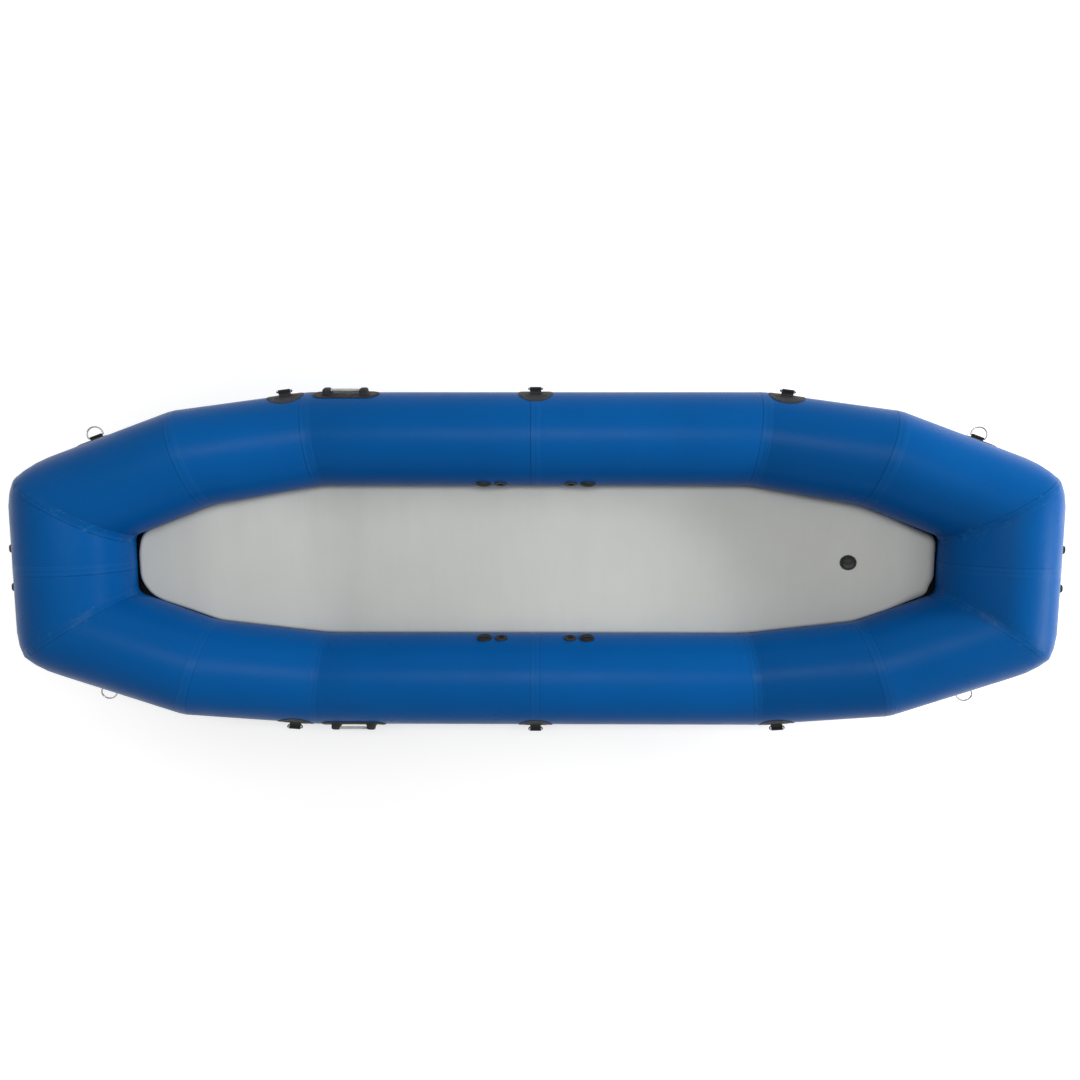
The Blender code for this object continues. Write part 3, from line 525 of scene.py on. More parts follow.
class Shape:
    """Closed shells gathered into one mesh, with a material and places in the cloth for each."""

    def __init__(self):
        self.points = []
        self.faces = []
        self.places = []
        self.slots = []
        self.count = 0

    def add(self, points, faces, slot=0, places=None):
        """Add a shell of (n, 3) points and rows of point numbers."""
        points = np.asarray(points, float).reshape(-1, 3)
        self.points.append(points)
        for index, face in enumerate(faces):
            self.faces.append([int(corner) + self.count for corner in face])
            self.places.append(None if places is None else places[index])
            self.slots.append(slot)
        self.count += len(points)

    def add_grid(self, points, slot=0, places=None, wrap_rows=False, wrap_columns=False):
        """Add a net of points, joined back to its first row or column where it wraps."""
        rows, columns = points.shape[:2]
        row, column = np.meshgrid(np.arange(rows if wrap_rows else rows - 1),
                                  np.arange(columns if wrap_columns else columns - 1),
                                  indexing="ij")
        below, right = (row + 1) % rows, (column + 1) % columns
        faces = np.stack([row * columns + column, row * columns + right,
                          below * columns + right, below * columns + column], -1)
        corner_places = None
        if places is not None:
            corner_places = np.stack([places[row, column], places[row, column + 1],
                                      places[row + 1, column + 1], places[row + 1, column]],
                                     -2).reshape(-1, 4, 2)
        self.add(points, faces.reshape(-1, 4), slot, corner_places)

    def add_turned(self, profile, steps, matrix=None, slot=0, closed=False):
        """Add a solid of revolution about Z from (radius, height) points."""
        rings = np.array([[(radius * math.cos(turn), radius * math.sin(turn), height)
                           for turn in round_angles(steps)] for radius, height in profile])
        if matrix is not None:
            rings = moved_by(matrix, rings)
        self.add_grid(rings, slot, wrap_rows=closed, wrap_columns=True)

    def add_ends(self, rows, slot=0):
        """Close a swept shell with its first and last row of points."""
        for row in (0, -1):
            self.add(rows[row], [range(len(rows[row]))], slot)

    def keep(self, wanted):
        """Keep the wanted faces and the points that they use."""
        kept = [index for index, face in enumerate(self.faces) if wanted(face)]
        self.places = [self.places[index] for index in kept]
        self.slots = [self.slots[index] for index in kept]
        used = sorted({corner for index in kept for corner in self.faces[index]})
        number = {old: new for new, old in enumerate(used)}
        self.faces = [[number[corner] for corner in self.faces[index]] for index in kept]
        self.points = [np.concatenate(self.points)[used]]
        self.count = len(used)

    def build(self, name, materials, matrix=None, merge=1e-6, sharp=38.0):
        """Make the object, close up its poles and shade it smooth but for its sharp edges."""
        mesh = bpy.data.meshes.new(name)
        mesh.from_pydata(np.concatenate(self.points).tolist(), [], self.faces)
        mesh.polygons.foreach_set("material_index", self.slots)
        if any(place is not None for place in self.places):
            layer = mesh.uv_layers.new(name="cloth")
            flat = []
            for face, place in zip(self.faces, self.places):
                flat += [0.0] * (2 * len(face)) if place is None else np.ravel(place).tolist()
            layer.data.foreach_set("uv", flat)
        build = bmesh.new()
        build.from_mesh(mesh)
        bmesh.ops.remove_doubles(build, verts=build.verts, dist=merge)
        bmesh.ops.dissolve_degenerate(build, edges=build.edges, dist=merge)
        bmesh.ops.recalc_face_normals(build, faces=build.faces)
        build.to_mesh(mesh)
        build.free()
        for material in materials:
            mesh.materials.append(material)
        mesh.shade_smooth()
        mesh.set_sharp_from_angle(angle=math.radians(sharp))
        piece = bpy.data.objects.new(name, mesh)
        if matrix is not None:
            piece.matrix_world = matrix
        bpy.context.scene.collection.objects.link(piece)
        return piece


def moved_by(matrix, points):
    """Points carried by a matrix."""
    turn = np.array(matrix.to_3x3())
    return points @ turn.T + np.array(matrix.translation)


def ready(piece, body, slot, *nodes):
    """Put a finished piece on its body and hide the nodes it stands for; the name of its finish is
    not used.
    """
    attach(piece, body)
    if nodes:
        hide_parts(*nodes)
    return piece


def feed(tree, socket, value):
    """Set an input to a value, or link it to the socket that feeds it."""
    if isinstance(value, bpy.types.NodeSocket):
        tree.links.new(value, socket)
    else:
        socket.default_value = value


def node(tree, kind, inputs=None, **settings):
    """Add a node; an input is a value or the socket that feeds it."""
    made = tree.nodes.new(kind)
    for key, value in settings.items():
        setattr(made, key, value)
    for key, value in (inputs or {}).items():
        feed(tree, made.inputs[key], value)
    return made


def finish_of(name, roughness, metallic=0.0, **sockets):
    """New principled material, with its node tree and shader."""
    made = bpy.data.materials.new(name)
    made.use_nodes = True
    shader = made.node_tree.nodes["Principled BSDF"]
    shader.inputs["Roughness"].default_value = roughness
    shader.inputs["Metallic"].default_value = metallic
    for key, value in sockets.items():
        shader.inputs[key.replace("_", " ")].default_value = value
    return made, made.node_tree, shader


def shade(colour, factor):
    """A colour made lighter or darker, with full opacity."""
    return tuple(min(1.0, channel * factor) for channel in colour) + (1.0,)


def cloud(tree, place, scale, detail=3.0, roughness=0.5):
    """Uneven noise between 0 and 1."""
    return node(tree, "ShaderNodeTexNoise", {"Vector": place, "Scale": scale, "Detail": detail,
                                             "Roughness": roughness}).outputs["Fac"]


def ramp(tree, value, low, high, start=0.0, end=1.0, interpolation="LINEAR"):
    """Carry a value from one range to another."""
    return node(tree, "ShaderNodeMapRange",
                {"Value": value, "From Min": start, "From Max": end, "To Min": low,
                 "To Max": high}, interpolation_type=interpolation).outputs["Result"]


def spread(tree, place, scale, low, high, detail=3.0, roughness=0.5):
    """Uneven noise that fills the range from a low to a high value."""
    return ramp(tree, cloud(tree, place, scale, detail, roughness), low, high, *NOISE_RANGE)


def arithmetic(tree, operation, first, second=0.0):
    """Result of a sum, a product and the like."""
    return node(tree, "ShaderNodeMath", {0: first, 1: second}, operation=operation).outputs[0]


def times(tree, first, second):
    """Product of two values."""
    return arithmetic(tree, "MULTIPLY", first, second)


def mixed(tree, factor, first, second):
    """Colour between two colours."""
    made = node(tree, "ShaderNodeMix", data_type="RGBA")
    for name, kind, value in (("Factor", "VALUE", factor), ("A", "RGBA", first),
                              ("B", "RGBA", second)):
        feed(tree, next(socket for socket in made.inputs
                        if socket.name == name and socket.type == kind), value)
    return next(socket for socket in made.outputs if socket.type == "RGBA")


def mapped(tree, place, **settings):
    """Places turned or scaled."""
    return node(tree, "ShaderNodeMapping", {"Vector": place, **settings}).outputs["Vector"]


def paint(tree, shader, base, gloss=None):
    """Give the shader its colour and, where it varies, its roughness."""
    feed(tree, shader.inputs["Base Color"], base)
    if gloss is not None:
        feed(tree, shader.inputs["Roughness"], gloss)


def threads(tree, place, pitch, across):
    """Rows of threads of one pitch."""
    return node(tree, "ShaderNodeTexWave",
                {"Vector": place, "Scale": WAVE_LENGTH / pitch, "Distortion": 0.0},
                wave_type="BANDS", bands_direction=across).outputs["Fac"]


def plain_weave(tree, place, pitch):
    """Threads of one pitch that cross each other."""
    return times(tree, threads(tree, place, pitch, "X"), threads(tree, place, pitch, "Y"))


def stripe(tree, value, centre, half_width):
    """1 on a line where a value has its centre, easing to 0 beside it."""
    off = arithmetic(tree, "ABSOLUTE", arithmetic(tree, "SUBTRACT", value, centre))
    return ramp(tree, off, 1.0, 0.0, 0.0, half_width, "SMOOTHSTEP")


def bump(tree, shader, height, distance):
    """Relief on the shader's normal."""
    made = node(tree, "ShaderNodeBump",
                {"Height": height, "Distance": distance, "Strength": 1.0})
    tree.links.new(made.outputs["Normal"], shader.inputs["Normal"])


def cloth_place(tree):
    """Places in the cloth, in metres along and across it."""
    return node(tree, "ShaderNodeUVMap", uv_map="cloth").outputs["UV"]


def object_place(tree):
    """Places in the piece's own frame."""
    return node(tree, "ShaderNodeTexCoord").outputs["Object"]


def attribute(tree, name):
    """A value kept at the points of the mesh."""
    return node(tree, "ShaderNodeAttribute", attribute_name=name).outputs["Fac"]


def lined(tree, base, lines):
    """Colour with lines drawn over it; each is where it lies, its share and its colour."""
    for where, share, tint in lines:
        base = mixed(tree, times(tree, where, share), base, tint)
    return base


def gathered(tree, base, place, seam):
    """Colour of cloth gathered at a corner: painted shade in fine folds along the seam and painted
    highlight spots between them.
    """
    share = attribute(tree, "gathers")
    wavy = arithmetic(tree, "ADD", seam, times(tree, cloud(tree, place, 9.0, 2.0), 0.004))
    folds = arithmetic(tree, "SINE", times(tree, wavy, math.tau / FOLD_PITCH))
    # Painted shade in the folds and painted highlights on the other side of each fold
    fold_shade = ramp(tree, folds, 0.0, 0.45, 0.2, 1.0)
    spots = ramp(tree, cloud(tree, place, 46.0, 4.0, 0.7), 0.0, 1.0, 0.56, 0.68)
    fold_highlight = times(tree, times(tree, spots, ramp(tree, folds, 0.0, 1.0, -0.2, -1.0)), 0.55)
    return lined(tree, base, ((fold_shade, share, shade(bpy.context.scene.raft_tube.colour, 0.50)),
                              (fold_highlight, share, FOLD_HIGHLIGHT_BLUE)))


def mottled_blue(tree, place, colour):
    """Blue of the tube and its tapes, in broad lighter and darker areas."""
    mottle = spread(tree, place, 2.2, 0.0, 1.0, 4.0, 0.55)
    return mixed(tree, mottle, shade(colour, 0.94), shade(colour, 1.06))


def tube_cloth():
    """Blue coated cloth: satin, a little uneven, with adhesive lines and painted edge shadow and
    highlight lines beside its seams, and painted light on its gathers.
    """
    colour = bpy.context.scene.raft_tube.colour
    made, tree, shader = finish_of("tube_cloth", 0.32, Specular_IOR_Level=0.055)
    place = object_place(tree)
    scuffs = ramp(tree, cloud(tree, place, 17.0, 6.0, 0.68), 0.0, 0.12, 0.60, 0.80)
    base = mixed(tree, scuffs, mottled_blue(tree, place, colour), SCUFF_BLUE)
    seam = attribute(tree, "seam")
    clear = ramp(tree, cloud(tree, place, 3.2, 2.0), 0.25, 1.0, 0.35, 0.65)
    # The darker lines beside each tape are partly adhesive and partly painted shadow of the tape's
    # edge; the paler line is a painted highlight
    faint = times(tree, stripe(tree, seam, 0.0300, 0.0014), 0.45)
    glue_and_edge_shadow = arithmetic(tree, "MAXIMUM", stripe(tree, seam, 0.0214, 0.0018), faint)
    base = lined(tree, base, ((times(tree, glue_and_edge_shadow, clear), 0.42, shade(colour, 0.45)),
                              (stripe(tree, seam, 0.0255, 0.0016), 0.07, EDGE_HIGHLIGHT_BLUE)))
    paint(tree, shader, gathered(tree, base, place, seam),
          spread(tree, place, 6.0, 0.26, 0.38, 5.0, 0.6))
    swell = times(tree, cloud(tree, place, 5.0, 2.0), 9.0)
    weave = plain_weave(tree, cloth_place(tree), THREAD_PITCH)
    bump(tree, shader, arithmetic(tree, "ADD", weave, swell), 0.00006)
    return made


def tape_cloth():
    """Blue tape glued over a seam: one edge darker with adhesive and painted shadow, a painted
    highlight at the other, a darker middle line and paler painted highlight lines between.
    """
    tube = bpy.context.scene.raft_tube
    colour, half = tube.tape_colour, tube.tape_half_width
    made, tree, shader = finish_of("tape_cloth", 0.30, Specular_IOR_Level=0.06)
    place = object_place(tree)
    weave = cloth_place(tree)
    across = node(tree, "ShaderNodeSeparateXYZ", {"Vector": weave}).outputs["X"]
    off = arithmetic(tree, "ABSOLUTE", across)
    clear = ramp(tree, cloud(tree, place, 3.2, 2.0), 0.3, 1.0, 0.35, 0.65)
    # Painted light: the darker line at one edge is adhesive and painted shadow; the paler lines at
    # the other edge and inside it are painted highlights
    glue_and_edge_shadow = times(tree, stripe(tree, across, 0.0014 - half, 0.0022), clear)
    base = lined(tree, mottled_blue(tree, place, colour), (
        (glue_and_edge_shadow, 0.62, shade(colour, 0.40)),
        (stripe(tree, across, half - 0.0012, 0.0016), 0.14, EDGE_HIGHLIGHT_BLUE),
        (stripe(tree, off, 0.0, 0.0018), 0.22, shade(colour, 0.45)),
        (stripe(tree, off, 0.0095, 0.0016), 0.12, INNER_HIGHLIGHT_BLUE)))
    paint(tree, shader, gathered(tree, base, place, off),
          spread(tree, place, 14.0, 0.24, 0.36, 4.0))
    bump(tree, shader, plain_weave(tree, weave, THREAD_PITCH), 0.00006)
    return made


def floor_cloth():
    """Grey coated cloth with the diagonal grain of its drop threads, and painted shade darkening
    its ends.
    """
    colour = bpy.context.scene.raft_floor.colour
    made, tree, shader = finish_of("floor_cloth", 0.55, Specular_IOR_Level=0.3)
    place = object_place(tree)
    turned = mapped(tree, place, Rotation=(0.0, 0.0, math.radians(45)))
    grain = threads(tree, turned, DROP_THREAD_PITCH, "X")
    cross = threads(tree, turned, DROP_THREAD_PITCH, "Y")
    bands = cloud(tree, mapped(tree, place, Scale=(1.0, 0.22, 1.0)), 26.0, 3.0, 0.6)
    broad = ramp(tree, cloud(tree, place, 1.6, 3.0), 0.0, 1.0, 0.32, 0.68)
    specks = ramp(tree, cloud(tree, place, 120.0, 2.0, 0.7), 0.0, 1.0, 0.62, 0.80)
    along = node(tree, "ShaderNodeSeparateXYZ", {"Vector": place}).outputs["X"]
    # Painted shade: the floor is made darker towards the stern and along its bow end
    wear_and_painted_shade = arithmetic(tree, "MAXIMUM", ramp(tree, along, 0.42, 0.0, -1.20, -0.70, "SMOOTHSTEP"),
                      ramp(tree, along, 0.0, 0.85, 1.55, 1.72, "SMOOTHSTEP"))
    base = lined(tree, mixed(tree, broad, shade(colour, 0.93), shade(colour, 1.03)), (
        (grain, 0.30, shade(colour, 0.80)),
        (cross, 0.14, shade(colour, 0.84)),
        (ramp(tree, bands, 0.0, 1.0, 0.45, 0.75), 0.10, shade(colour, 0.78)),
        (specks, 0.20, shade(colour, 0.70)),
        (wear_and_painted_shade, 1.0, shade(colour, 0.70))))
    paint(tree, shader, base, spread(tree, place, 9.0, 0.46, 0.62, 4.0))
    relief = arithmetic(tree, "ADD", grain, times(tree, cross, 0.5))
    bump(tree, shader, arithmetic(tree, "ADD", relief, times(tree, bands, 3.0)), 0.00009)
    return made


def black_cloth():
    """Black coated cloth with a plain weave."""
    colour = bpy.context.scene.raft_floor.sheet_colour
    made, tree, shader = finish_of("black_cloth", 0.6, Specular_IOR_Level=0.15)
    place = object_place(tree)
    mottle = spread(tree, place, 7.0, 0.0, 1.0, 5.0)
    paint(tree, shader, mixed(tree, mottle, shade(colour, 0.75), shade(colour, 1.5)),
          spread(tree, place, 21.0, 0.52, 0.70))
    bump(tree, shader, plain_weave(tree, place, 0.0015), 0.00010)
    return made


def patch_rubber(name, colour):
    """Matt rubber with a fine pebbled face and dusty high spots."""
    made, tree, shader = finish_of(name, 0.62, Specular_IOR_Level=0.25)
    place = object_place(tree)
    pebbles = node(tree, "ShaderNodeTexVoronoi", {"Vector": place, "Scale": 620.0},
                   feature="F1").outputs["Distance"]
    dust = ramp(tree, cloud(tree, place, 34.0, 6.0, 0.65), 0.0, 1.0, 0.35, 0.75)
    paint(tree, shader, mixed(tree, dust, shade(colour, 0.75), shade(colour, 1.7)),
          spread(tree, place, 48.0, 0.50, 0.74, 4.0))
    bump(tree, shader, pebbles, 0.00016)
    return made


def webbing_weave():
    """Black nylon webbing with ribs across it and a twill along them."""
    colour = bpy.context.scene.raft_rings.webbing_colour
    made, tree, shader = finish_of("webbing_weave", 0.7, Specular_IOR_Level=0.2,
                                   Sheen_Weight=0.08, Sheen_Roughness=0.5)
    place = object_place(tree)
    weave = cloth_place(tree)
    ribs = threads(tree, weave, 0.0021, "X")
    turned = mapped(tree, weave, Rotation=(0.0, 0.0, math.radians(35)))
    twill = threads(tree, turned, 0.0013, "Y")
    pattern = times(tree, ribs, arithmetic(tree, "ADD", twill, 0.35))
    fuzz = ramp(tree, cloud(tree, place, 260.0, 3.0), 0.0, 0.5, 0.4, 0.8)
    base = mixed(tree, pattern, shade(colour, 0.5), shade(colour, 2.0))
    paint(tree, shader, mixed(tree, fuzz, base, shade(colour, 3.0)))
    bump(tree, shader, pattern, 0.00035)
    return made


def stitch_thread():
    """Twisted black polyester thread."""
    made, tree, shader = finish_of("stitch_thread", 0.5)
    twist = mapped(tree, object_place(tree), Rotation=(0.4, 0.5, math.radians(40)))
    strands = threads(tree, twist, 0.0006, "X")
    paint(tree, shader,
          mixed(tree, strands, (0.012, 0.012, 0.013, 1.0), (0.05, 0.05, 0.052, 1.0)))
    bump(tree, shader, strands, 0.0001)
    return made


def valve_plastic():
    """Black moulded plastic with a fine spark grain and faint handling marks."""
    colour = bpy.context.scene.raft_valves.colour
    made, tree, shader = finish_of("valve_plastic", 0.38, Specular_IOR_Level=0.25)
    place = object_place(tree)
    dust = ramp(tree, cloud(tree, place, 90.0, 5.0, 0.6), 0.0, 1.0, 0.4, 0.8)
    paint(tree, shader, mixed(tree, dust, shade(colour, 0.8), shade(colour, 1.8)),
          spread(tree, place, 140.0, 0.30, 0.48, 4.0))
    bump(tree, shader, cloud(tree, place, 1500.0, 2.0), 0.00006)
    return made


def ring_steel():
    """Polished stainless wire with drawing marks and light scratches."""
    colour = bpy.context.scene.raft_rings.steel_colour
    made, tree, shader = finish_of("ring_steel", 0.18, 1.0)
    place = object_place(tree)
    marks = cloud(tree, place, 420.0, 5.0, 0.7)
    dull = ramp(tree, cloud(tree, place, 60.0, 3.0), 0.0, 1.0, 0.35, 0.75)
    paint(tree, shader, mixed(tree, dull, shade(colour, 1.08), shade(colour, 0.80)),
          ramp(tree, marks, 0.12, 0.34, 0.3, 0.7))
    bump(tree, shader, marks, 0.00004)
    return made


def grip_plastic():
    """Pale polished grip, lightly worn."""
    colour = bpy.context.scene.raft_handles.grip_colour
    made, tree, shader = finish_of("grip_plastic", 0.3)
    place = object_place(tree)
    wear_and_painted_shade = ramp(tree, cloud(tree, place, 70.0, 5.0, 0.6), 0.0, 1.0, 0.35, 0.75)
    paint(tree, shader, mixed(tree, wear_and_painted_shade, shade(colour, 1.1), shade(colour, 0.7)),
          ramp(tree, wear_and_painted_shade, 0.24, 0.5))
    bump(tree, shader, cloud(tree, place, 900.0), 0.00005)
    return made


def finish(maker, *inputs):
    """A material made once and shared."""
    name = inputs[0] if inputs else maker.__name__
    return bpy.data.materials.get(name) or maker(*inputs)


def valve_places():
    """Name, panel and frame of each valve's seat on the two side panels."""
    places = []
    for side in ("port", "starboard"):
        panel = PANELS[f"side_panel_{side}"]
        for end, bow in (("bow", 1), ("stern", -1)):
            for kind, x_place in VALVE_X.items():
                along = (bow * x_place - panel.start[0]) * panel.direction[0]
                places.append((kind, f"{end}_{side}", panel,
                               panel.frame(along, VALVE_ELEVATION, VALVE_SEAT)))
    return places


def flattened(points, frames):
    """Cloth pulled flat under each valve's flange, and how far each point is from one."""
    nearest = np.full(points.shape[:-1], np.inf)
    for frame_matrix, radius in frames:
        local = moved_by(frame_matrix.inverted(), points)
        distance = np.hypot(local[..., 0], local[..., 1])
        facing = local[..., 2] > -SEAT_FACING
        pull = smooth_step(1 - (distance - radius - SEAT_MARGIN) / SEAT_EASE) * facing
        normal = np.array(frame_matrix.to_3x3().col[2])
        points = points + normal * ((-SEAT_DEPTH - local[..., 2]) * pull)[..., None]
        nearest = np.minimum(nearest, np.where(facing, distance - radius, np.inf))
    return points, nearest


def panel_rows(panel, angle):
    """Distances along the panel at each row and angle of its net."""
    radius = bpy.context.scene.raft_tube.radius
    start = panel.cut(angle, False, radius)
    end = panel.cut(angle, True, radius)
    margin = NEAR_STEPS[-1]
    shares = list(np.linspace(0, 1, PANEL_ROWS)[1:-1])
    if panel.name.startswith("side"):
        shares = list(np.linspace(0, 1, SIDE_PANEL_ROWS)[1:-1])
        for x_place in VALVE_X.values():
            for along in (panel.length / 2 + x_place, panel.length / 2 - x_place):
                shares += list((along - margin + VALVE_STEPS) / (panel.length - 2 * margin))
    rows = [start + step for step in NEAR_STEPS]
    rows += [start + margin + (end - start - 2 * margin) * share for share in sorted(shares)]
    rows += [end - step for step in NEAR_STEPS[::-1]]
    return np.array(rows), start, end


def panel_angles(panel):
    """Angles round the tube, a degree apart where valves sit."""
    even = round_angles(AROUND_PANEL)
    if not panel.name.startswith("side"):
        return even
    close = VALVE_ELEVATION + np.radians(np.arange(-VALVE_DEGREES, VALVE_DEGREES + 1))
    off = np.abs((even - VALVE_ELEVATION + math.pi) % math.tau - math.pi)
    return np.sort(np.concatenate([close, even[off > math.radians(VALVE_DEGREES + 1)]]))


def make_tube_panel(panel):
    """One panel of the tube: cloth that eases into its seams, holed under its valves."""
    tube = bpy.context.scene.raft_tube
    valves = bpy.context.scene.raft_valves
    flange = {"inflation": valves.flange_radius, "relief": valves.relief_radius}
    angle = panel_angles(panel)
    rows, start, end = panel_rows(panel, angle)
    seam = np.minimum(rows - start, end - rows)
    if panel.has_baffle:
        seam = np.minimum(seam, np.abs(rows - panel.length / 2))
    seats = [(matrix, flange[kind]) for kind, _, owner, matrix in valve_places()
             if owner is panel]
    round_rows = np.broadcast_to(angle, rows.shape)
    points, nearest = flattened(panel.surface(rows, round_rows), seats)
    wrapped = np.append(angle, angle[0] + math.tau)
    places = np.stack(np.broadcast_arrays(rows.mean(1)[:, None], wrapped * tube.radius), -1)
    shape = Shape()
    shape.add_grid(points, places=places, wrap_columns=True)
    off = nearest.ravel()
    shape.keep(lambda face: min(off[corner] for corner in face) > -SEAT_HOLE)
    piece = shape.build(f"tube_{panel.name}", [finish(tube_cloth)], merge=1e-7)
    mark(piece, points, {"seam": seam, "gathers": panel.gathers(rows, round_rows)})
    face_out(piece, panel)
    wall = piece.modifiers.new("cloth", "SOLIDIFY")
    wall.thickness = tube.skin
    wall.offset = -1.0
    return ready(piece, "hull", "tube_blue", panel.name)


def keep_values(piece, name, values):
    """Keep a named value at each of a mesh's points."""
    kept = piece.data.attributes.new(name, "FLOAT", "POINT")
    kept.data.foreach_set("value", np.asarray(values, np.float32))


def mark(piece, places, values):
    """Keep named values at a mesh's points, each from the nearest of some places."""
    places = places.reshape(-1, 3)
    tree = KDTree(len(places))
    for index, place in enumerate(places):
        tree.insert(place, index)
    tree.balance()
    nearest = [tree.find(vertex.co)[1] for vertex in piece.data.vertices]
    for name, value in values.items():
        keep_values(piece, name, value.ravel()[nearest])


def face_out(piece, panel):
    """Turn an open tube's faces outwards."""
    middle = panel.start + panel.direction * (panel.length / 2)
    face = piece.data.polygons[len(piece.data.polygons) // 2]
    reach = np.array(face.center) - middle
    reach = reach - (reach @ panel.direction) * panel.direction
    if reach @ np.array(face.normal) < 0:
        piece.data.flip_normals()


def make_tape(name, before, after, gathering=None):
    """Closed band of tape, from its two sides.

    Each side is its panel, the angles and the places along it of the tape's middle, and the way
    that the tape's steps go along the panel.
    """
    tube = bpy.context.scene.raft_tube

    def row(side, share, height):
        panel, angle, middle, way = side
        along = middle + way * share * tube.tape_half_width
        return panel.surface(along, angle, np.full(angle.shape, height * tube.tape))

    under = [(share, TAPE_UNDER) for share in TAPE_UNDER_STEPS]
    section = [(before, *step) for step in TAPE_STEPS[::-1]]
    section += [(after, *step) for step in TAPE_STEPS[1:]] + [(after, *step) for step in under]
    section += [(before, *step) for step in under[-2::-1]]
    across = [(1 if side is after else -1) * share * tube.tape_half_width
              for side, share, _ in section]
    around = np.arange(AROUND_TAPE + 1) * math.tau * tube.radius / AROUND_TAPE
    places = np.stack(np.meshgrid(across + across[:1], around, indexing="ij"), -1)
    shape = Shape()
    shape.add_grid(np.array([row(*step) for step in section]), places=places,
                   wrap_rows=True, wrap_columns=True)
    piece = shape.build(name, [finish(tape_cloth)], merge=1e-7)
    if gathering is not None:
        keep_values(piece, "gathers", np.full(len(piece.data.vertices), gathering))
    return ready(piece, "hull", "tube_blue")


def make_seam_tape(name, panel, following):
    """Tape over the seam between a panel and the one that follows it."""
    radius = bpy.context.scene.raft_tube.radius
    angle = round_angles(AROUND_TAPE)
    onward = following.angle_of(panel.seam(angle, True, radius)[0])
    return make_tape(name, (panel, angle, panel.cut(angle, True, radius), -1),
                     (following, onward, following.cut(onward, False, radius), 1),
                     panel.gathering(True))


def make_chamber_tape(name, panel):
    """Tape round the middle of a panel, where a baffle parts two chambers."""
    angle = round_angles(AROUND_TAPE)
    middle = np.full(angle.shape, panel.length / 2)
    return make_tape(name, (panel, angle, middle, -1), (panel, angle, middle, 1))


def make_baffle(name, panel):
    """Shallow cone of cloth across the tube, with a glued rim."""
    matrix = frame_of(panel.side, panel.up, panel.direction,
                      panel.start + panel.direction * panel.length / 2)
    shares = (1.0, 0.97, 0.9, 0.75, 0.6, 0.45, 0.3, 0.15, 0.0)
    profile = [(BAFFLE_RADIUS * share, BAFFLE_BULGE * (1 - share ** 1.3) + off)
               for off, way in ((-BAFFLE_HALF_THICKNESS, 1), (BAFFLE_HALF_THICKNESS, -1))
               for share in shares[::way]]
    shape = Shape()
    shape.add_turned(profile, 96, closed=True)
    piece = shape.build(f"cloth_{name}", [finish(black_cloth)], matrix)
    return ready(piece, "hull", "black_cloth", name)


def floor_height(x_place):
    """Height of the floor's upper face."""
    height = np.full(np.shape(x_place), FLOOR_MIDDLE_TOP)
    for middle, half, slope in FLOOR_BENDS:
        past = np.abs(x_place) - middle
        bend = np.where(past < half, (past + half) ** 2 / (4 * half), past)
        height = height + slope * np.where(past > -half, bend, 0.0)
    return height


def floor_outline(count):
    """Closed outline of the floor, evenly spaced and eased at its corners."""
    bow = FLOOR_SIDE + FLOOR_BOW
    stern = [(-x, y) for x, y in (FLOOR_SIDE + FLOOR_STERN)[::-1]]
    port = np.array(stern + list(bow))
    points, _ = evenly_spaced(np.concatenate([port, port[::-1] * (1, -1)]), count)
    for _ in range(5):
        points = points / 2 + (np.roll(points, 1, 0) + np.roll(points, -1, 0)) / 4
    return points


def pressed_outline(outline):
    """Floor outline as it lies in the tube: hard against both ends, slack at two corners."""
    x, y = outline[:, :1], outline[:, 1:]
    stern, bow = (smooth_step((way * x - PRESSED_X) / PRESSED_SPAN) for way in (-1, 1))
    starboard = smooth_step((STARBOARD_Y - y) / STARBOARD_SPAN)
    moved = (bow * BOW_PRESS - stern * (STERN_PRESS + STARBOARD_PRESS * starboard)) * (1.0, 0.0)
    for corner, inward, width in SLACK_CORNERS:
        near = np.exp(-(((outline - corner) ** 2).sum(1, keepdims=True)) / width ** 2)
        moved = moved + near * inward
    slack = smooth_step((-SLACK_X - x) / SLACK_SPAN) * (y < 0)
    return outline + moved + slack * (0.0, SLACK_SIDE)


def floor_ripple(points):
    """Low waves of the floor's face, with short wrinkles where it bends."""
    ripple = bpy.context.scene.raft_floor.ripple
    x, y = points[..., 0], points[..., 1]
    wide = np.array([noise.noise(Vector((a * 9.0, b * 2.2, 0.3)))
                     for a, b in zip(x.ravel(), y.ravel())]).reshape(x.shape)
    half_width = np.interp(np.abs(x), [x for x, _ in FLOOR_SIDE], [y for _, y in FLOOR_SIDE])
    beside = smooth_step(1 - (half_width - np.abs(y)) / CREASE_LENGTH)
    bend = np.exp(-((np.abs(x) - CREASE_X) / CREASE_SPAN) ** 2) * np.where(x < 0, 1.0, BOW_CREASE)
    creases = np.sin(x * CREASE_PITCH + 5 * wide) * bend * beside
    ribs = np.sin(x * RIB_PITCH) * smooth_step((0.3 - x) / 1.2) * smooth_step((y + 0.1) / 0.3)
    return ripple * creases + WIDE_WAVE * wide + RIB_WAVE * ribs


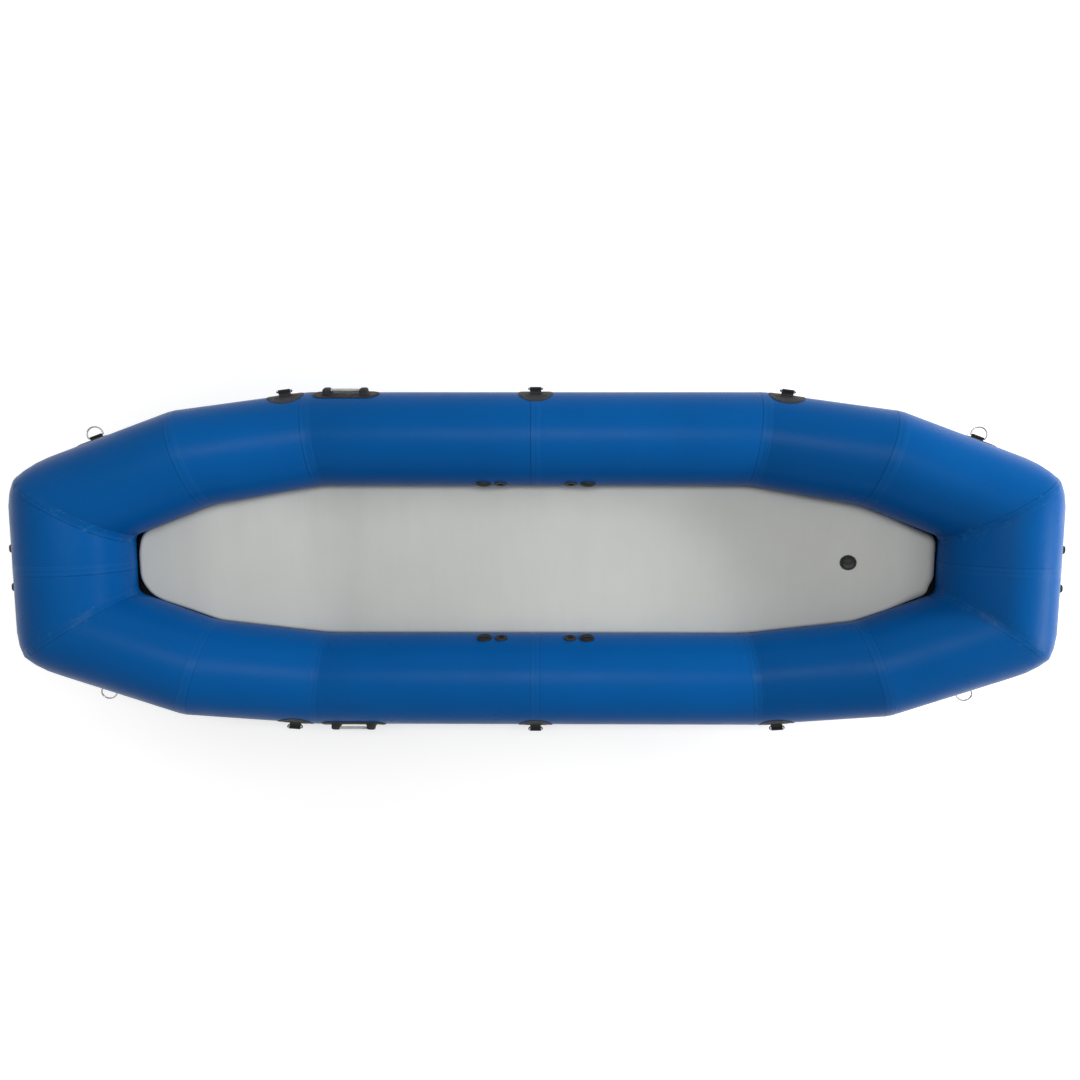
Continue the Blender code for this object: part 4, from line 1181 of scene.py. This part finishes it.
def make_floor():
    """Drop-stitch floor: flat faces, round edges and fine wrinkles at its bends."""
    settings = bpy.context.scene.raft_floor
    outline = floor_outline(FLOOR_POINTS)
    tangent = np.roll(outline, -1, 0) - np.roll(outline, 1, 0)
    normal = unit(np.stack([-tangent[:, 1], tangent[:, 0]], -1))
    softness = smooth_step((outline[:, :1] - SOFT_EDGE_X) / SOFT_EDGE_SPAN)
    edge = settings.edge + (settings.bow_edge - settings.edge) * softness
    outline = pressed_outline(outline + normal * settings.swell)
    spine = outline.clip(-FLOOR_SPINE, FLOOR_SPINE) * (1.0, 0.0)
    inner = outline - normal * edge
    level = np.zeros_like(edge)
    rim = [(outline - normal * edge * (1 - math.cos(turn)), edge * (1 - math.sin(turn)))
           for turn in np.linspace(0, math.pi / 2, 8)]
    loops = [(inner + (spine - inner) * share, level) for share in np.linspace(1, 0, 40)[:-1]]
    rippled = len(loops) + 1
    loops += rim[::-1] + [(flat, FLOOR_THICKNESS - drop) for flat, drop in rim]
    loops += [(inner + (spine - inner) * share, level + FLOOR_THICKNESS)
              for share in np.linspace(0, 1, 9)[1:]]
    rows = []
    for index, (flat, drop) in enumerate(loops):
        height = floor_height(flat[:, 0]) - drop[:, 0]
        if index < rippled:
            height = height + floor_ripple(flat)
        rows.append(np.concatenate([flat, height[:, None]], 1))
    shape = Shape()
    shape.add_grid(np.array(rows), wrap_columns=True)
    piece = shape.build("inflated_floor", [finish(floor_cloth)], merge=2e-5)
    return ready(piece, "hull", "floor_grey", "drop_stitch_floor")


def make_bottom_sheet():
    """Black sheet stretched under the floor between the tubes."""
    thickness = bpy.context.scene.raft_floor.sheet
    points = np.array([vertex.co for vertex in frame["nodes"]["bottom_sheet"].data.vertices])
    places = sorted(set(np.round(points[:, 0], 4)))
    edges = np.array([points[np.abs(points[:, 0] - place) < SHEET_MATCH].max(0)
                      for place in places])
    along = np.linspace(places[0], places[-1], 260)
    half_width = np.interp(along, places, edges[:, 1])
    height = np.interp(along, places, edges[:, 2]) - SHEET_DROP
    across = np.linspace(-1, 1, 41)
    rows = np.array([[(x, reach * share, z) for share in across]
                     + [(x, reach * share, z - thickness) for share in across[::-1]]
                     for x, reach, z in zip(along, half_width, height)])
    shape = Shape()
    shape.add_grid(rows, wrap_columns=True)
    for row in (rows[0], rows[-1]):
        shape.add_grid(np.stack([row[:len(across)], row[len(across):][::-1]]))
    piece = shape.build("black_bottom_sheet", [finish(black_cloth)], merge=1e-5)
    return ready(piece, "hull", "black_cloth", "bottom_sheet")


def rounded_bar(shape, half_length, half_width, low, high, matrix=None, slot=0, power=3.2):
    """Add a moulded bar or lug: a soft-cornered outline that draws in at its top."""
    outline = soft_outline(1.0, 1.0, power, steps=40)
    rise = high - low
    ease = min(rise, half_width) * 0.55
    rings = []
    for height, inset in ((0.0, 0.0), (rise - ease, 0.0), (rise - ease * 0.62, ease * 0.07),
                          (rise - ease * 0.30, ease * 0.28), (rise - ease * 0.08, ease * 0.60),
                          (rise, ease), (rise, half_width * 0.9)):
        rings.append([((half_length - inset) * x, (half_width - inset) * y, low + height)
                      for x, y in outline])
    bottom = [(x * 0.02, y * 0.02, low) for x, y, _ in rings[0]]
    top = [(x * 0.02, y * 0.02, high) for x, y, _ in rings[-1]]
    rings = np.array([bottom] + rings + [top])
    if matrix is not None:
        rings = moved_by(matrix, rings)
    shape.add_grid(rings, slot, wrap_columns=True)
    shape.add_ends(rings, slot)


def add_ribs(shape, count, reach, size, first=0.0):
    """Add small ribs round Z; each has a half length, a half width, a foot and a top."""
    for index in range(count):
        turn = Matrix.Rotation(math.tau * (index + first) / count, 4, "Z")
        rounded_bar(shape, *size, turn @ Matrix.Translation((reach, 0, 0)), power=2.4)


def inflation_body():
    """Valve body: rounded flange with small ribs, cap recess and barrel."""
    settings = bpy.context.scene.raft_valves
    rim = settings.flange_radius
    shape = Shape()
    profile = [(0.0180, -0.0340), (0.0222, -0.0340), (0.0225, -0.0335), (0.0225, 0.0)]
    profile += [(rim - 0.0006, 0.0), (rim, 0.0006), (rim, 0.0030), (rim - 0.0003, 0.0040),
                (rim - 0.0009, 0.0047), (rim - 0.0018, 0.0050), (0.0278, 0.0050),
                (0.0272, 0.0047), (0.0268, 0.0040), (0.0266, 0.0022), (0.0263, 0.0020),
                (0.0188, 0.0020), (0.0180, 0.0012)]
    shape.add_turned(profile, 72, closed=True)
    add_ribs(shape, settings.ribs, 0.0301, (0.0017, 0.0006, 0.0046, 0.0055))
    return shape


def inflation_cap():
    """Bayonet cap: dished disc with a fluted rim and a grip bar across it."""
    shape = Shape()
    profile = [(0.0, -0.0090), (0.0168, -0.0090), (0.0175, -0.0083), (0.0175, -0.0004),
               (0.0178, 0.0), (0.0255, 0.0), (0.0260, 0.0005), (0.0260, 0.0034),
               (0.0257, 0.0043), (0.0250, 0.0049), (0.0243, 0.0050), (0.0232, 0.0049),
               (0.0226, 0.0044), (0.0220, 0.0041), (0.0120, 0.0040), (0.0, 0.0040)]
    shape.add_turned(profile, 72)
    rounded_bar(shape, 0.0205, 0.0031, 0.0034, 0.0084)
    add_ribs(shape, 40, 0.0245, (0.0008, 0.0005, 0.0042, 0.0053), first=0.5)
    for side in (1, -1):
        rounded_bar(shape, 0.0040, 0.0012, 0.0034, 0.0048,
                    Matrix.Translation((0, side * 0.0130, 0)))
    return shape


def relief_body():
    """Relief valve body: flange with vent ribs and a stepped mouth."""
    rim = bpy.context.scene.raft_valves.relief_radius
    shape = Shape()
    profile = [(0.0090, -0.0260), (0.0166, -0.0260), (0.0170, -0.0255), (0.0170, 0.0),
               (rim - 0.0005, 0.0), (rim, 0.0005), (rim, 0.0027), (rim - 0.0004, 0.0037),
               (rim - 0.0012, 0.0043), (rim - 0.0022, 0.0045), (0.0168, 0.0045),
               (0.0160, 0.0042), (0.0150, 0.0042), (0.0145, 0.0045), (0.0130, 0.0045),
               (0.0125, 0.0040), (0.0125, -0.0030), (0.0096, -0.0030), (0.0090, -0.0036)]
    shape.add_turned(profile, 64, closed=True)
    add_ribs(shape, 12, 0.0212, (0.0036, 0.0007, 0.0040, 0.0050), first=0.5)
    return shape


def relief_poppet():
    """Poppet: a dished disc with a small boss, and its stem."""
    shape = Shape()
    profile = [(0.0, -0.0120), (0.0036, -0.0120), (0.0040, -0.0116), (0.0040, 0.0),
               (0.0114, 0.0), (0.0120, 0.0006), (0.0120, 0.0023), (0.0116, 0.0029),
               (0.0108, 0.0030), (0.0098, 0.0027), (0.0088, 0.0021), (0.0046, 0.0019),
               (0.0038, 0.0023), (0.0030, 0.0028), (0.0, 0.0029)]
    shape.add_turned(profile, 56)
    return shape


def floor_valve_frame():
    """Seat of the floor's valve, below its cap's joint."""
    turn = next(joint for joint in frame["joints"] if joint["name"] == "floor_cap_turn")
    normal = unit(np.array(turn["axis"], float))
    across = np.array((0.0, 1.0, 0.0))
    origin = np.array(turn["pos_m"]) - normal * CAP_LIFT
    return frame_of(np.cross(across, normal), across, normal, origin)


def make_valves(kind):
    """Bodies and moving pieces of one kind of valve."""
    plastic = [finish(valve_plastic)]
    lift = Matrix.Translation((0, 0, CAP_LIFT if kind == "inflation" else POPPET_LIFT))
    makers = {"inflation": (inflation_body, inflation_cap, "cap"),
              "relief": (relief_body, relief_poppet, "poppet")}
    make_body, make_mover, mover_name = makers[kind]
    seats = [(f"{kind}_valve_body_{place}", f"{kind}_valve_{mover_name}_{place}", matrix)
             for found, place, _, matrix in valve_places() if found == kind]
    if kind == "inflation":
        seats.append(("floor_valve_body", "floor_valve_cap", floor_valve_frame()))
    for body_node, mover_node, matrix in seats:
        body = make_body().build(f"moulded_{body_node}", plastic, matrix)
        ready(body, "hull", "valve_black", body_node)
        mover = make_mover().build(f"moulded_{mover_node}", plastic, matrix @ lift)
        ready(mover, mover_node, "valve_black", mover_node)


def ring_places():
    """Each ring's name, panel, place along it, elevation and whether it stands out level."""
    places = []
    for side in ("port", "starboard"):
        panel = PANELS[f"side_panel_{side}"]
        places.append((f"mid_{side}", panel, panel.length / 2, SIDE_RING_ELEVATION, False))
        for end in ("bow", "stern"):
            shoulder = PANELS[f"{end}_shoulder_panel_{side}"]
            quarter = PANELS[f"{end}_quarter_panel_{side}"]
            leads_out = abs(shoulder.start[0]) < MIDDLE_CORNER[0] + 0.01
            setback, share = SHOULDER_RING_SETBACK, QUARTER_RING_SHARE
            if not leads_out:
                setback, share = shoulder.length - setback, 1 - share
            places.append((f"{end}_shoulder_{side}", shoulder, setback,
                           SIDE_RING_ELEVATION, False))
            places.append((f"{end}_quarter_{side}", quarter, quarter.length * share, 0.0, True))
    return places


def mount_height(elevation):
    """Height above the tube's axis at which the frame seats a ring mount."""
    return TAPED_RADIUS / math.cos(elevation - round(elevation / FACET) * FACET)


def hugging(panel, along, elevation, flat):
    """Points of a patch laid on the tube, from rows of (x, y, height) in the flat."""
    radius = bpy.context.scene.raft_tube.radius
    return panel.surface(along + flat[..., 0], elevation - flat[..., 1] / radius, flat[..., 2])


def add_patch(shape, panel, along, elevation, outline, levels, slot=0):
    """Add a glued patch: an outline drawn in by shares, each share at its own height."""
    rows = [np.concatenate([outline * share, np.full((len(outline), 1), height)], 1)
            for share, height in levels]
    shape.add_grid(hugging(panel, along, elevation, np.array(rows)), slot, wrap_columns=True)


def level(height, *shares):
    """Levels of a patch that lie at one height."""
    return [(share, height) for share in shares]


def stadium_outline(half_length, half_width):
    """Outline with straight sides and round ends, evenly spaced."""
    straight = half_length - half_width
    fine = [(side * (straight + half_width * math.cos(turn)), side * half_width * math.sin(turn))
            for side in (1, -1) for turn in np.linspace(-math.pi / 2, math.pi / 2, 60)]
    return evenly_spaced(fine, 144)[0]


def webbing_path(ring_height, patch_top):
    """Middle line of the webbing in (y, z): a foot, up, round the wire and down to a foot."""
    foot = patch_top + WEBBING_HALF_THICKNESS
    points = [(-0.0155, foot - 0.0004), (-0.012, foot), (-0.0085, foot + 0.0004),
              (-0.0055, foot + 0.0018), (-0.0033, foot + 0.0042), (-0.0020, foot + 0.0072),
              (-0.0016, foot + 0.0095)]
    for turn in np.radians(np.linspace(215, -35, 20)):
        points.append((WEBBING_BEND * math.cos(turn),
                       ring_height + WEBBING_BEND * math.sin(turn)))
    points += [(-y, z) for y, z in points[6::-1]]
    path, lengths = evenly_spaced(points, 74, closed=False)
    for _ in range(2):
        path[1:-1] = path[1:-1] / 2 + (path[:-2] + path[2:]) / 4
    return path, lengths


def add_webbing(shape, matrix, ring_height, patch_top, slot):
    """Add the webbing loop: two plies pinched below the ring, with woven edges."""
    half_width = bpy.context.scene.raft_rings.webbing_half_width
    path, lengths = webbing_path(ring_height, patch_top)
    tangent = unit(np.gradient(path, axis=0))
    normal = np.stack([-tangent[:, 1], tangent[:, 0]], -1)
    section = []
    for way in (1, -1):
        out = way * WEBBING_HALF_THICKNESS
        section += [(way * share * (half_width - WEBBING_ROUND), out)
                    for share in np.linspace(-1, 1, 13)]
        section += [(way * half_width, out * 0.45), (way * half_width, -out * 0.45)]
    rows = np.array([[(x, point[0] + side[0] * out, point[1] + side[1] * out)
                      for x, out in section] for point, side in zip(path, normal)])
    around = [x for x, _ in section] + [section[0][0]]
    places = np.stack(np.meshgrid(lengths, around, indexing="ij"), -1)
    rows = moved_by(matrix, rows)
    shape.add_grid(rows, slot, places, wrap_columns=True)
    shape.add_ends(rows, slot)


def add_stitches(shape, matrix, slot):
    """Add a row of stitches: short threads that dip in at both ends."""
    half_length, radius = STITCH_SIZE
    rows = []
    for share, lift, thick in ((-1.0, -0.9, 0.25), (-0.8, -0.1, 0.85), (-0.3, 0.25, 1.0),
                               (0.3, 0.25, 1.0), (0.8, -0.1, 0.85), (1.0, -0.9, 0.25)):
        rows.append([(share * half_length, thick * radius * math.cos(turn),
                      lift * radius + thick * radius * math.sin(turn))
                     for turn in round_angles(6)])
    for x_place in STITCH_PLACES:
        stitch = moved_by(matrix, np.array(rows) + (x_place, 0.0, 0.0))
        shape.add_grid(stitch, slot, wrap_columns=True)
        shape.add_ends(stitch, slot)


def make_ring_mount(place, panel, along, elevation):
    """Round rubber patch, a smaller one over it, the webbing loop and its stitches."""
    settings = bpy.context.scene.raft_rings
    radius = bpy.context.scene.raft_tube.radius
    shape = Shape()
    top = 0.0026
    add_patch(shape, panel, along, elevation,
              soft_outline(settings.patch_radius, settings.patch_radius, steps=112),
              level(top, 0.0, 0.15, 0.3, 0.45, 0.6, 0.75, 0.88, 0.955)
              + [(0.985, top - 0.0004), (0.998, top - 0.0012), (1.0, 0.0004)]
              + level(PATCH_UNDER, 0.99, 0.6, 0.0))
    second = top + 0.0011
    add_patch(shape, panel, along, elevation, soft_outline(0.050, 0.034, 2.6),
              level(second, 0.0, 0.25, 0.5, 0.75, 0.93)
              + [(0.98, second - 0.0003), (1.0, top + 0.0002)]
              + level(top - 0.0004, 0.98, 0.5, 0.0))
    matrix = panel.frame(along, elevation, radius)
    ring_height = mount_height(elevation) + RING_AXIS_RISE - radius
    add_webbing(shape, matrix, ring_height, second, 1)
    for side in (1, -1):
        for height, off, lean in ((0.0092, 0.0030, 83), (0.0066, 0.0037, 83), (0.0023, 0.0122, 0)):
            spot = Matrix.Translation((0.0, side * off, second + height))
            turn = Matrix.Rotation(math.radians(-side * lean), 4, "X")
            add_stitches(shape, matrix @ spot @ turn, 2)
    piece = shape.build(f"mount_{place}",
                        [finish(patch_rubber, "patch_rubber", settings.patch_colour),
                         finish(webbing_weave), finish(stitch_thread)])
    return ready(piece, "hull", "black_rubber", f"ring_mount_{place}")


def ring_line():
    """Middle line of the D: a straight side along X, two legs and a bow along Y."""
    half, corner, leg, reach = 0.030, 0.0055, 0.011, 0.041
    fine = [(x, 0.0) for x in np.linspace(-half + corner, half - corner, 20)]
    fine += [(half - corner + corner * math.sin(turn), corner - corner * math.cos(turn))
             for turn in np.linspace(0, math.pi / 2, 10)[1:]]
    fine += [(half * math.cos(turn), leg + (reach - leg) * math.sin(turn))
             for turn in np.linspace(0, math.pi, 60)]
    fine += [(-half + corner - corner * math.cos(turn), corner - corner * math.sin(turn))
             for turn in np.linspace(0, math.pi / 2, 10)[:-1]]
    return evenly_spaced(fine, 120)[0]


def make_d_ring(place, panel, along, elevation, stands_out):
    """Closed D of polished wire, with a low weld on its straight side."""
    wire = bpy.context.scene.raft_rings.wire
    line = ring_line()
    tangent = unit(np.roll(line, -1, 0) - np.roll(line, 1, 0))
    normal = np.stack([tangent[:, 1], -tangent[:, 0]], -1)
    turn = round_angles(16)
    weld = np.exp(-((line[:, 0] - WELD_X) / WELD_SPAN) ** 2) * (line[:, 1] < 0.001) * WELD_HEIGHT
    thick = (wire + weld)[:, None]
    rows = np.stack([line[:, None, 0] + normal[:, None, 0] * np.cos(turn) * thick,
                     line[:, None, 1] + normal[:, None, 1] * np.cos(turn) * thick,
                     np.sin(turn) * thick], -1)
    shape = Shape()
    shape.add_grid(rows, wrap_rows=True, wrap_columns=True)
    reach = panel.outward(elevation) if stands_out else -panel.up
    origin = (panel.start + panel.direction * along
              + panel.outward(elevation) * (mount_height(elevation) + RING_AXIS_RISE))
    matrix = frame_of(panel.direction, reach, np.cross(panel.direction, reach), origin)
    piece = shape.build(f"ring_{place}", [finish(ring_steel)], matrix)
    return ready(piece, f"d_ring_{place}", "steel", f"d_ring_{place}")


def make_handle(name, panel, along, elevation):
    """Carry handle: a bordered base, two moulded lugs and a ribbed grip between them."""
    settings = bpy.context.scene.raft_handles
    radius = bpy.context.scene.raft_tube.radius
    shape = Shape()
    top = 0.0032
    ridge = top + 0.0012
    add_patch(shape, panel, along, elevation,
              stadium_outline(settings.half_length, settings.half_width),
              level(top, 0.0, 0.2, 0.4, 0.6, 0.78, 0.86)
              + [(0.885, ridge), (0.93, ridge), (0.95, top), (0.985, top - 0.0003),
                 (0.998, top - 0.0014), (1.0, 0.0004)]
              + level(PATCH_UNDER, 0.99, 0.5, 0.0))
    matrix = panel.frame(along, elevation, radius)
    for side in (1, -1):
        centre = matrix @ Matrix.Translation((side * LUG_PLACE, 0, 0))
        for *size, power in LUG_STEPS:
            rounded_bar(shape, *size, centre, power=power)
    profile = [(0.0, -GRIP_HALF)]
    for x_place in np.linspace(-GRIP_HALF, GRIP_HALF, 170):
        dip = GRIP_RIB_DEPTH * (0.5 * math.cos(math.tau * x_place / GRIP_RIB_STEP) - 0.5)
        swell = GRIP_SWELL * math.cos(math.pi / 2 * x_place / GRIP_HALF)
        profile.append((settings.grip_radius + swell + dip, x_place))
    profile.append((0.0, GRIP_HALF))
    raised = matrix @ Matrix.Translation((0, 0, GRIP_HEIGHT))
    shape.add_turned(profile, 28, raised @ Matrix.Rotation(math.pi / 2, 4, "Y"), slot=1)
    piece = shape.build(f"moulded_{name}",
                        [finish(patch_rubber, "handle_rubber", settings.colour),
                         finish(grip_plastic)])
    return ready(piece, "hull", "black_rubber", name)


def seen_directly(tree):
    """1 for rays from the camera and from glossy or clear surfaces, and 0 for other light."""
    rays = node(tree, "ShaderNodeLightPath").outputs
    shown = arithmetic(tree, "MAXIMUM", rays["Is Glossy Ray"], rays["Is Transmission Ray"])
    return arithmetic(tree, "MAXIMUM", rays["Is Camera Ray"], shown)


def ground_finish(colour):
    """Pale ground that keeps shadows and reads as white to the camera and in reflections."""
    made, tree, shader = finish_of("pale_ground", 0.85)
    place = object_place(tree)
    paint(tree, shader,
          mixed(tree, cloud(tree, place, 1.3), shade(colour, 0.985), shade(colour, 1.0)))
    away = node(tree, "ShaderNodeVectorMath", {0: place}, operation="LENGTH").outputs["Value"]
    glow = ramp(tree, away, 0.50, 0.86, 1.2, 4.0, "SMOOTHSTEP")
    feed(tree, shader.inputs["Emission Color"], (1.0, 1.0, 1.0, 1.0))
    feed(tree, shader.inputs["Emission Strength"], times(tree, seen_directly(tree), glow))
    return made


def make_world(strength):
    """Pale sky that lights the raft evenly and is white behind it."""
    world = bpy.data.worlds.new("pale_sky")
    bpy.context.scene.world = world
    world.use_nodes = True
    tree = world.node_tree
    back = tree.nodes["Background"].inputs
    feed(tree, back["Color"], (1.0, 1.0, 1.0, 1.0))
    feed(tree, back["Strength"], ramp(tree, seen_directly(tree), strength, 1.0))


def make_light(name, power, place, target, size, colour):
    """Soft rectangular light turned to a point."""
    data = bpy.data.lights.new(name, "AREA")
    data.shape = "RECTANGLE"
    data.size, data.size_y = size
    data.energy = power
    data.color = colour
    light = bpy.data.objects.new(name, data)
    light.location = place
    light.rotation_euler = (Vector(target) - Vector(place)).to_track_quat("-Z", "Y").to_euler()
    bpy.context.scene.collection.objects.link(light)
    return light


class RAFT_OT_tube_panels(bpy.types.Operator):
    """Build the twelve panels of the hull tube"""

    bl_idname = "raft.tube_panels"
    bl_label = "Tube panels"

    def execute(self, context):
        for panel in PANELS.values():
            make_tube_panel(panel)
        return {"FINISHED"}


class RAFT_OT_tapes(bpy.types.Operator):
    """Build the tapes over the seams and over the baffles"""

    bl_idname = "raft.tapes"
    bl_label = "Seam tapes"

    def execute(self, context):
        panels = list(PANELS.values())
        for index, panel in enumerate(panels):
            following = panels[(index + 1) % len(panels)]
            make_seam_tape(f"seam_tape_{index + 1}", panel, following)
        for panel in panels:
            if panel.has_baffle:
                make_chamber_tape(f"chamber_tape_{panel.name}", panel)
        return {"FINISHED"}


class RAFT_OT_baffles(bpy.types.Operator):
    """Build the cloth baffles inside the tube"""

    bl_idname = "raft.baffles"
    bl_label = "Baffles"

    def execute(self, context):
        for name, panel_name in (("baffle_port", "side_panel_port"),
                                 ("baffle_starboard", "side_panel_starboard"),
                                 ("baffle_bow", "bow_end_panel"),
                                 ("baffle_stern", "stern_end_panel")):
            make_baffle(name, PANELS[panel_name])
        return {"FINISHED"}


class RAFT_OT_floor(bpy.types.Operator):
    """Build the drop-stitch floor"""

    bl_idname = "raft.floor"
    bl_label = "Floor"

    def execute(self, context):
        make_floor()
        return {"FINISHED"}


class RAFT_OT_bottom_sheet(bpy.types.Operator):
    """Build the black sheet under the floor"""

    bl_idname = "raft.bottom_sheet"
    bl_label = "Bottom sheet"

    def execute(self, context):
        make_bottom_sheet()
        return {"FINISHED"}


class RAFT_OT_inflation_valves(bpy.types.Operator):
    """Build the five inflation valves and their caps"""

    bl_idname = "raft.inflation_valves"
    bl_label = "Inflation valves"

    def execute(self, context):
        make_valves("inflation")
        return {"FINISHED"}


class RAFT_OT_relief_valves(bpy.types.Operator):
    """Build the four relief valves and their poppets"""

    bl_idname = "raft.relief_valves"
    bl_label = "Relief valves"

    def execute(self, context):
        make_valves("relief")
        return {"FINISHED"}


class RAFT_OT_ring_mounts(bpy.types.Operator):
    """Build the ten patches with their webbing loops"""

    bl_idname = "raft.ring_mounts"
    bl_label = "Ring mounts"

    def execute(self, context):
        for place, panel, along, elevation, _ in ring_places():
            make_ring_mount(place, panel, along, elevation)
        return {"FINISHED"}


class RAFT_OT_d_rings(bpy.types.Operator):
    """Build the ten D-rings"""

    bl_idname = "raft.d_rings"
    bl_label = "D-rings"

    def execute(self, context):
        for place, panel, along, elevation, stands_out in ring_places():
            make_d_ring(place, panel, along, elevation, stands_out)
        return {"FINISHED"}


class RAFT_OT_carry_handles(bpy.types.Operator):
    """Build the two side handles and the two end handles"""

    bl_idname = "raft.carry_handles"
    bl_label = "Carry handles"

    def execute(self, context):
        for side in ("port", "starboard"):
            panel = PANELS[f"side_panel_{side}"]
            along = SIDE_HANDLE_SETBACK
            if panel.start[0] > 0:
                along = panel.length - SIDE_HANDLE_SETBACK
            make_handle(f"carry_handle_{side}", panel, along, SIDE_HANDLE_ELEVATION)
        for end in ("bow", "stern"):
            panel = PANELS[f"{end}_end_panel"]
            make_handle(f"carry_handle_{end}", panel, panel.length / 2, END_HANDLE_ELEVATION)
        return {"FINISHED"}


class RAFT_OT_stage(bpy.types.Operator):
    """Set the ground, the light and the camera"""

    bl_idname = "raft.stage"
    bl_label = "Stage"

    def execute(self, context):
        scene = context.scene
        settings = scene.raft_stage
        mesh = bpy.data.meshes.new("ground")
        corners = ((-1, -1), (1, -1), (1, 1), (-1, 1))
        mesh.from_pydata([(x * GROUND_HALF, y * GROUND_HALF, GROUND_HEIGHT)
                          for x, y in corners], [], [(0, 1, 2, 3)])
        mesh.materials.append(ground_finish(settings.ground_colour))
        ground = bpy.data.objects.new("ground", mesh)
        scene.collection.objects.link(ground)
        make_world(settings.sky)
        for kind, (reflected, *setting) in LIGHTS.items():
            light = make_light(f"{kind}_light", getattr(settings, kind), *setting)
            light.visible_glossy = reflected
        data = bpy.data.cameras.new("photo_camera")
        data.sensor_width = SENSOR
        data.sensor_fit = "HORIZONTAL"
        data.lens = CAMERA_LENS
        camera = bpy.data.objects.new("photo_camera", data)
        camera.location = CAMERA_PLACE
        camera.rotation_euler = [math.radians(turn) for turn in CAMERA_TURN]
        scene.collection.objects.link(camera)
        scene.camera = camera
        scene.view_settings.view_transform = "Standard"
        return {"FINISHED"}


OPERATORS = (RAFT_OT_tube_panels, RAFT_OT_tapes, RAFT_OT_baffles, RAFT_OT_floor,
             RAFT_OT_bottom_sheet, RAFT_OT_inflation_valves, RAFT_OT_relief_valves,
             RAFT_OT_ring_mounts, RAFT_OT_d_rings, RAFT_OT_carry_handles, RAFT_OT_stage)
SETTINGS = (("raft_tube", RaftTubeSettings), ("raft_floor", RaftFloorSettings),
            ("raft_valves", RaftValveSettings), ("raft_rings", RaftRingSettings),
            ("raft_handles", RaftHandleSettings), ("raft_stage", RaftStageSettings))


class RAFT_PT_looks(bpy.types.Panel):
    """Lists the raft's pieces and the settings of each"""

    bl_idname = "RAFT_PT_looks"
    bl_label = "Whitewater raft"
    bl_space_type = "VIEW_3D"
    bl_region_type = "UI"
    bl_category = "Raft"

    def draw(self, context):
        for operator in OPERATORS:
            self.layout.operator(operator.bl_idname)
        for name, group in SETTINGS:
            box = self.layout.box()
            for setting in group.__annotations__:
                box.prop(getattr(context.scene, name), setting)


def register():
    """Register the settings, the operators and the panel."""
    for name, group in SETTINGS:
        bpy.utils.register_class(group)
        setattr(bpy.types.Scene, name, bpy.props.PointerProperty(type=group))
    for operator in OPERATORS:
        bpy.utils.register_class(operator)
    bpy.utils.register_class(RAFT_PT_looks)


def unregister():
    """Take out all that was registered."""
    bpy.utils.unregister_class(RAFT_PT_looks)
    for operator in reversed(OPERATORS):
        bpy.utils.unregister_class(operator)
    for name, group in reversed(SETTINGS):
        delattr(bpy.types.Scene, name)
        bpy.utils.unregister_class(group)


def main():
    """Build every piece and the stage."""
    register()
    for operator in OPERATORS:
        group, name = operator.bl_idname.split(".")
        getattr(getattr(bpy.ops, group), name)()


if __name__ == "__main__":
    main()
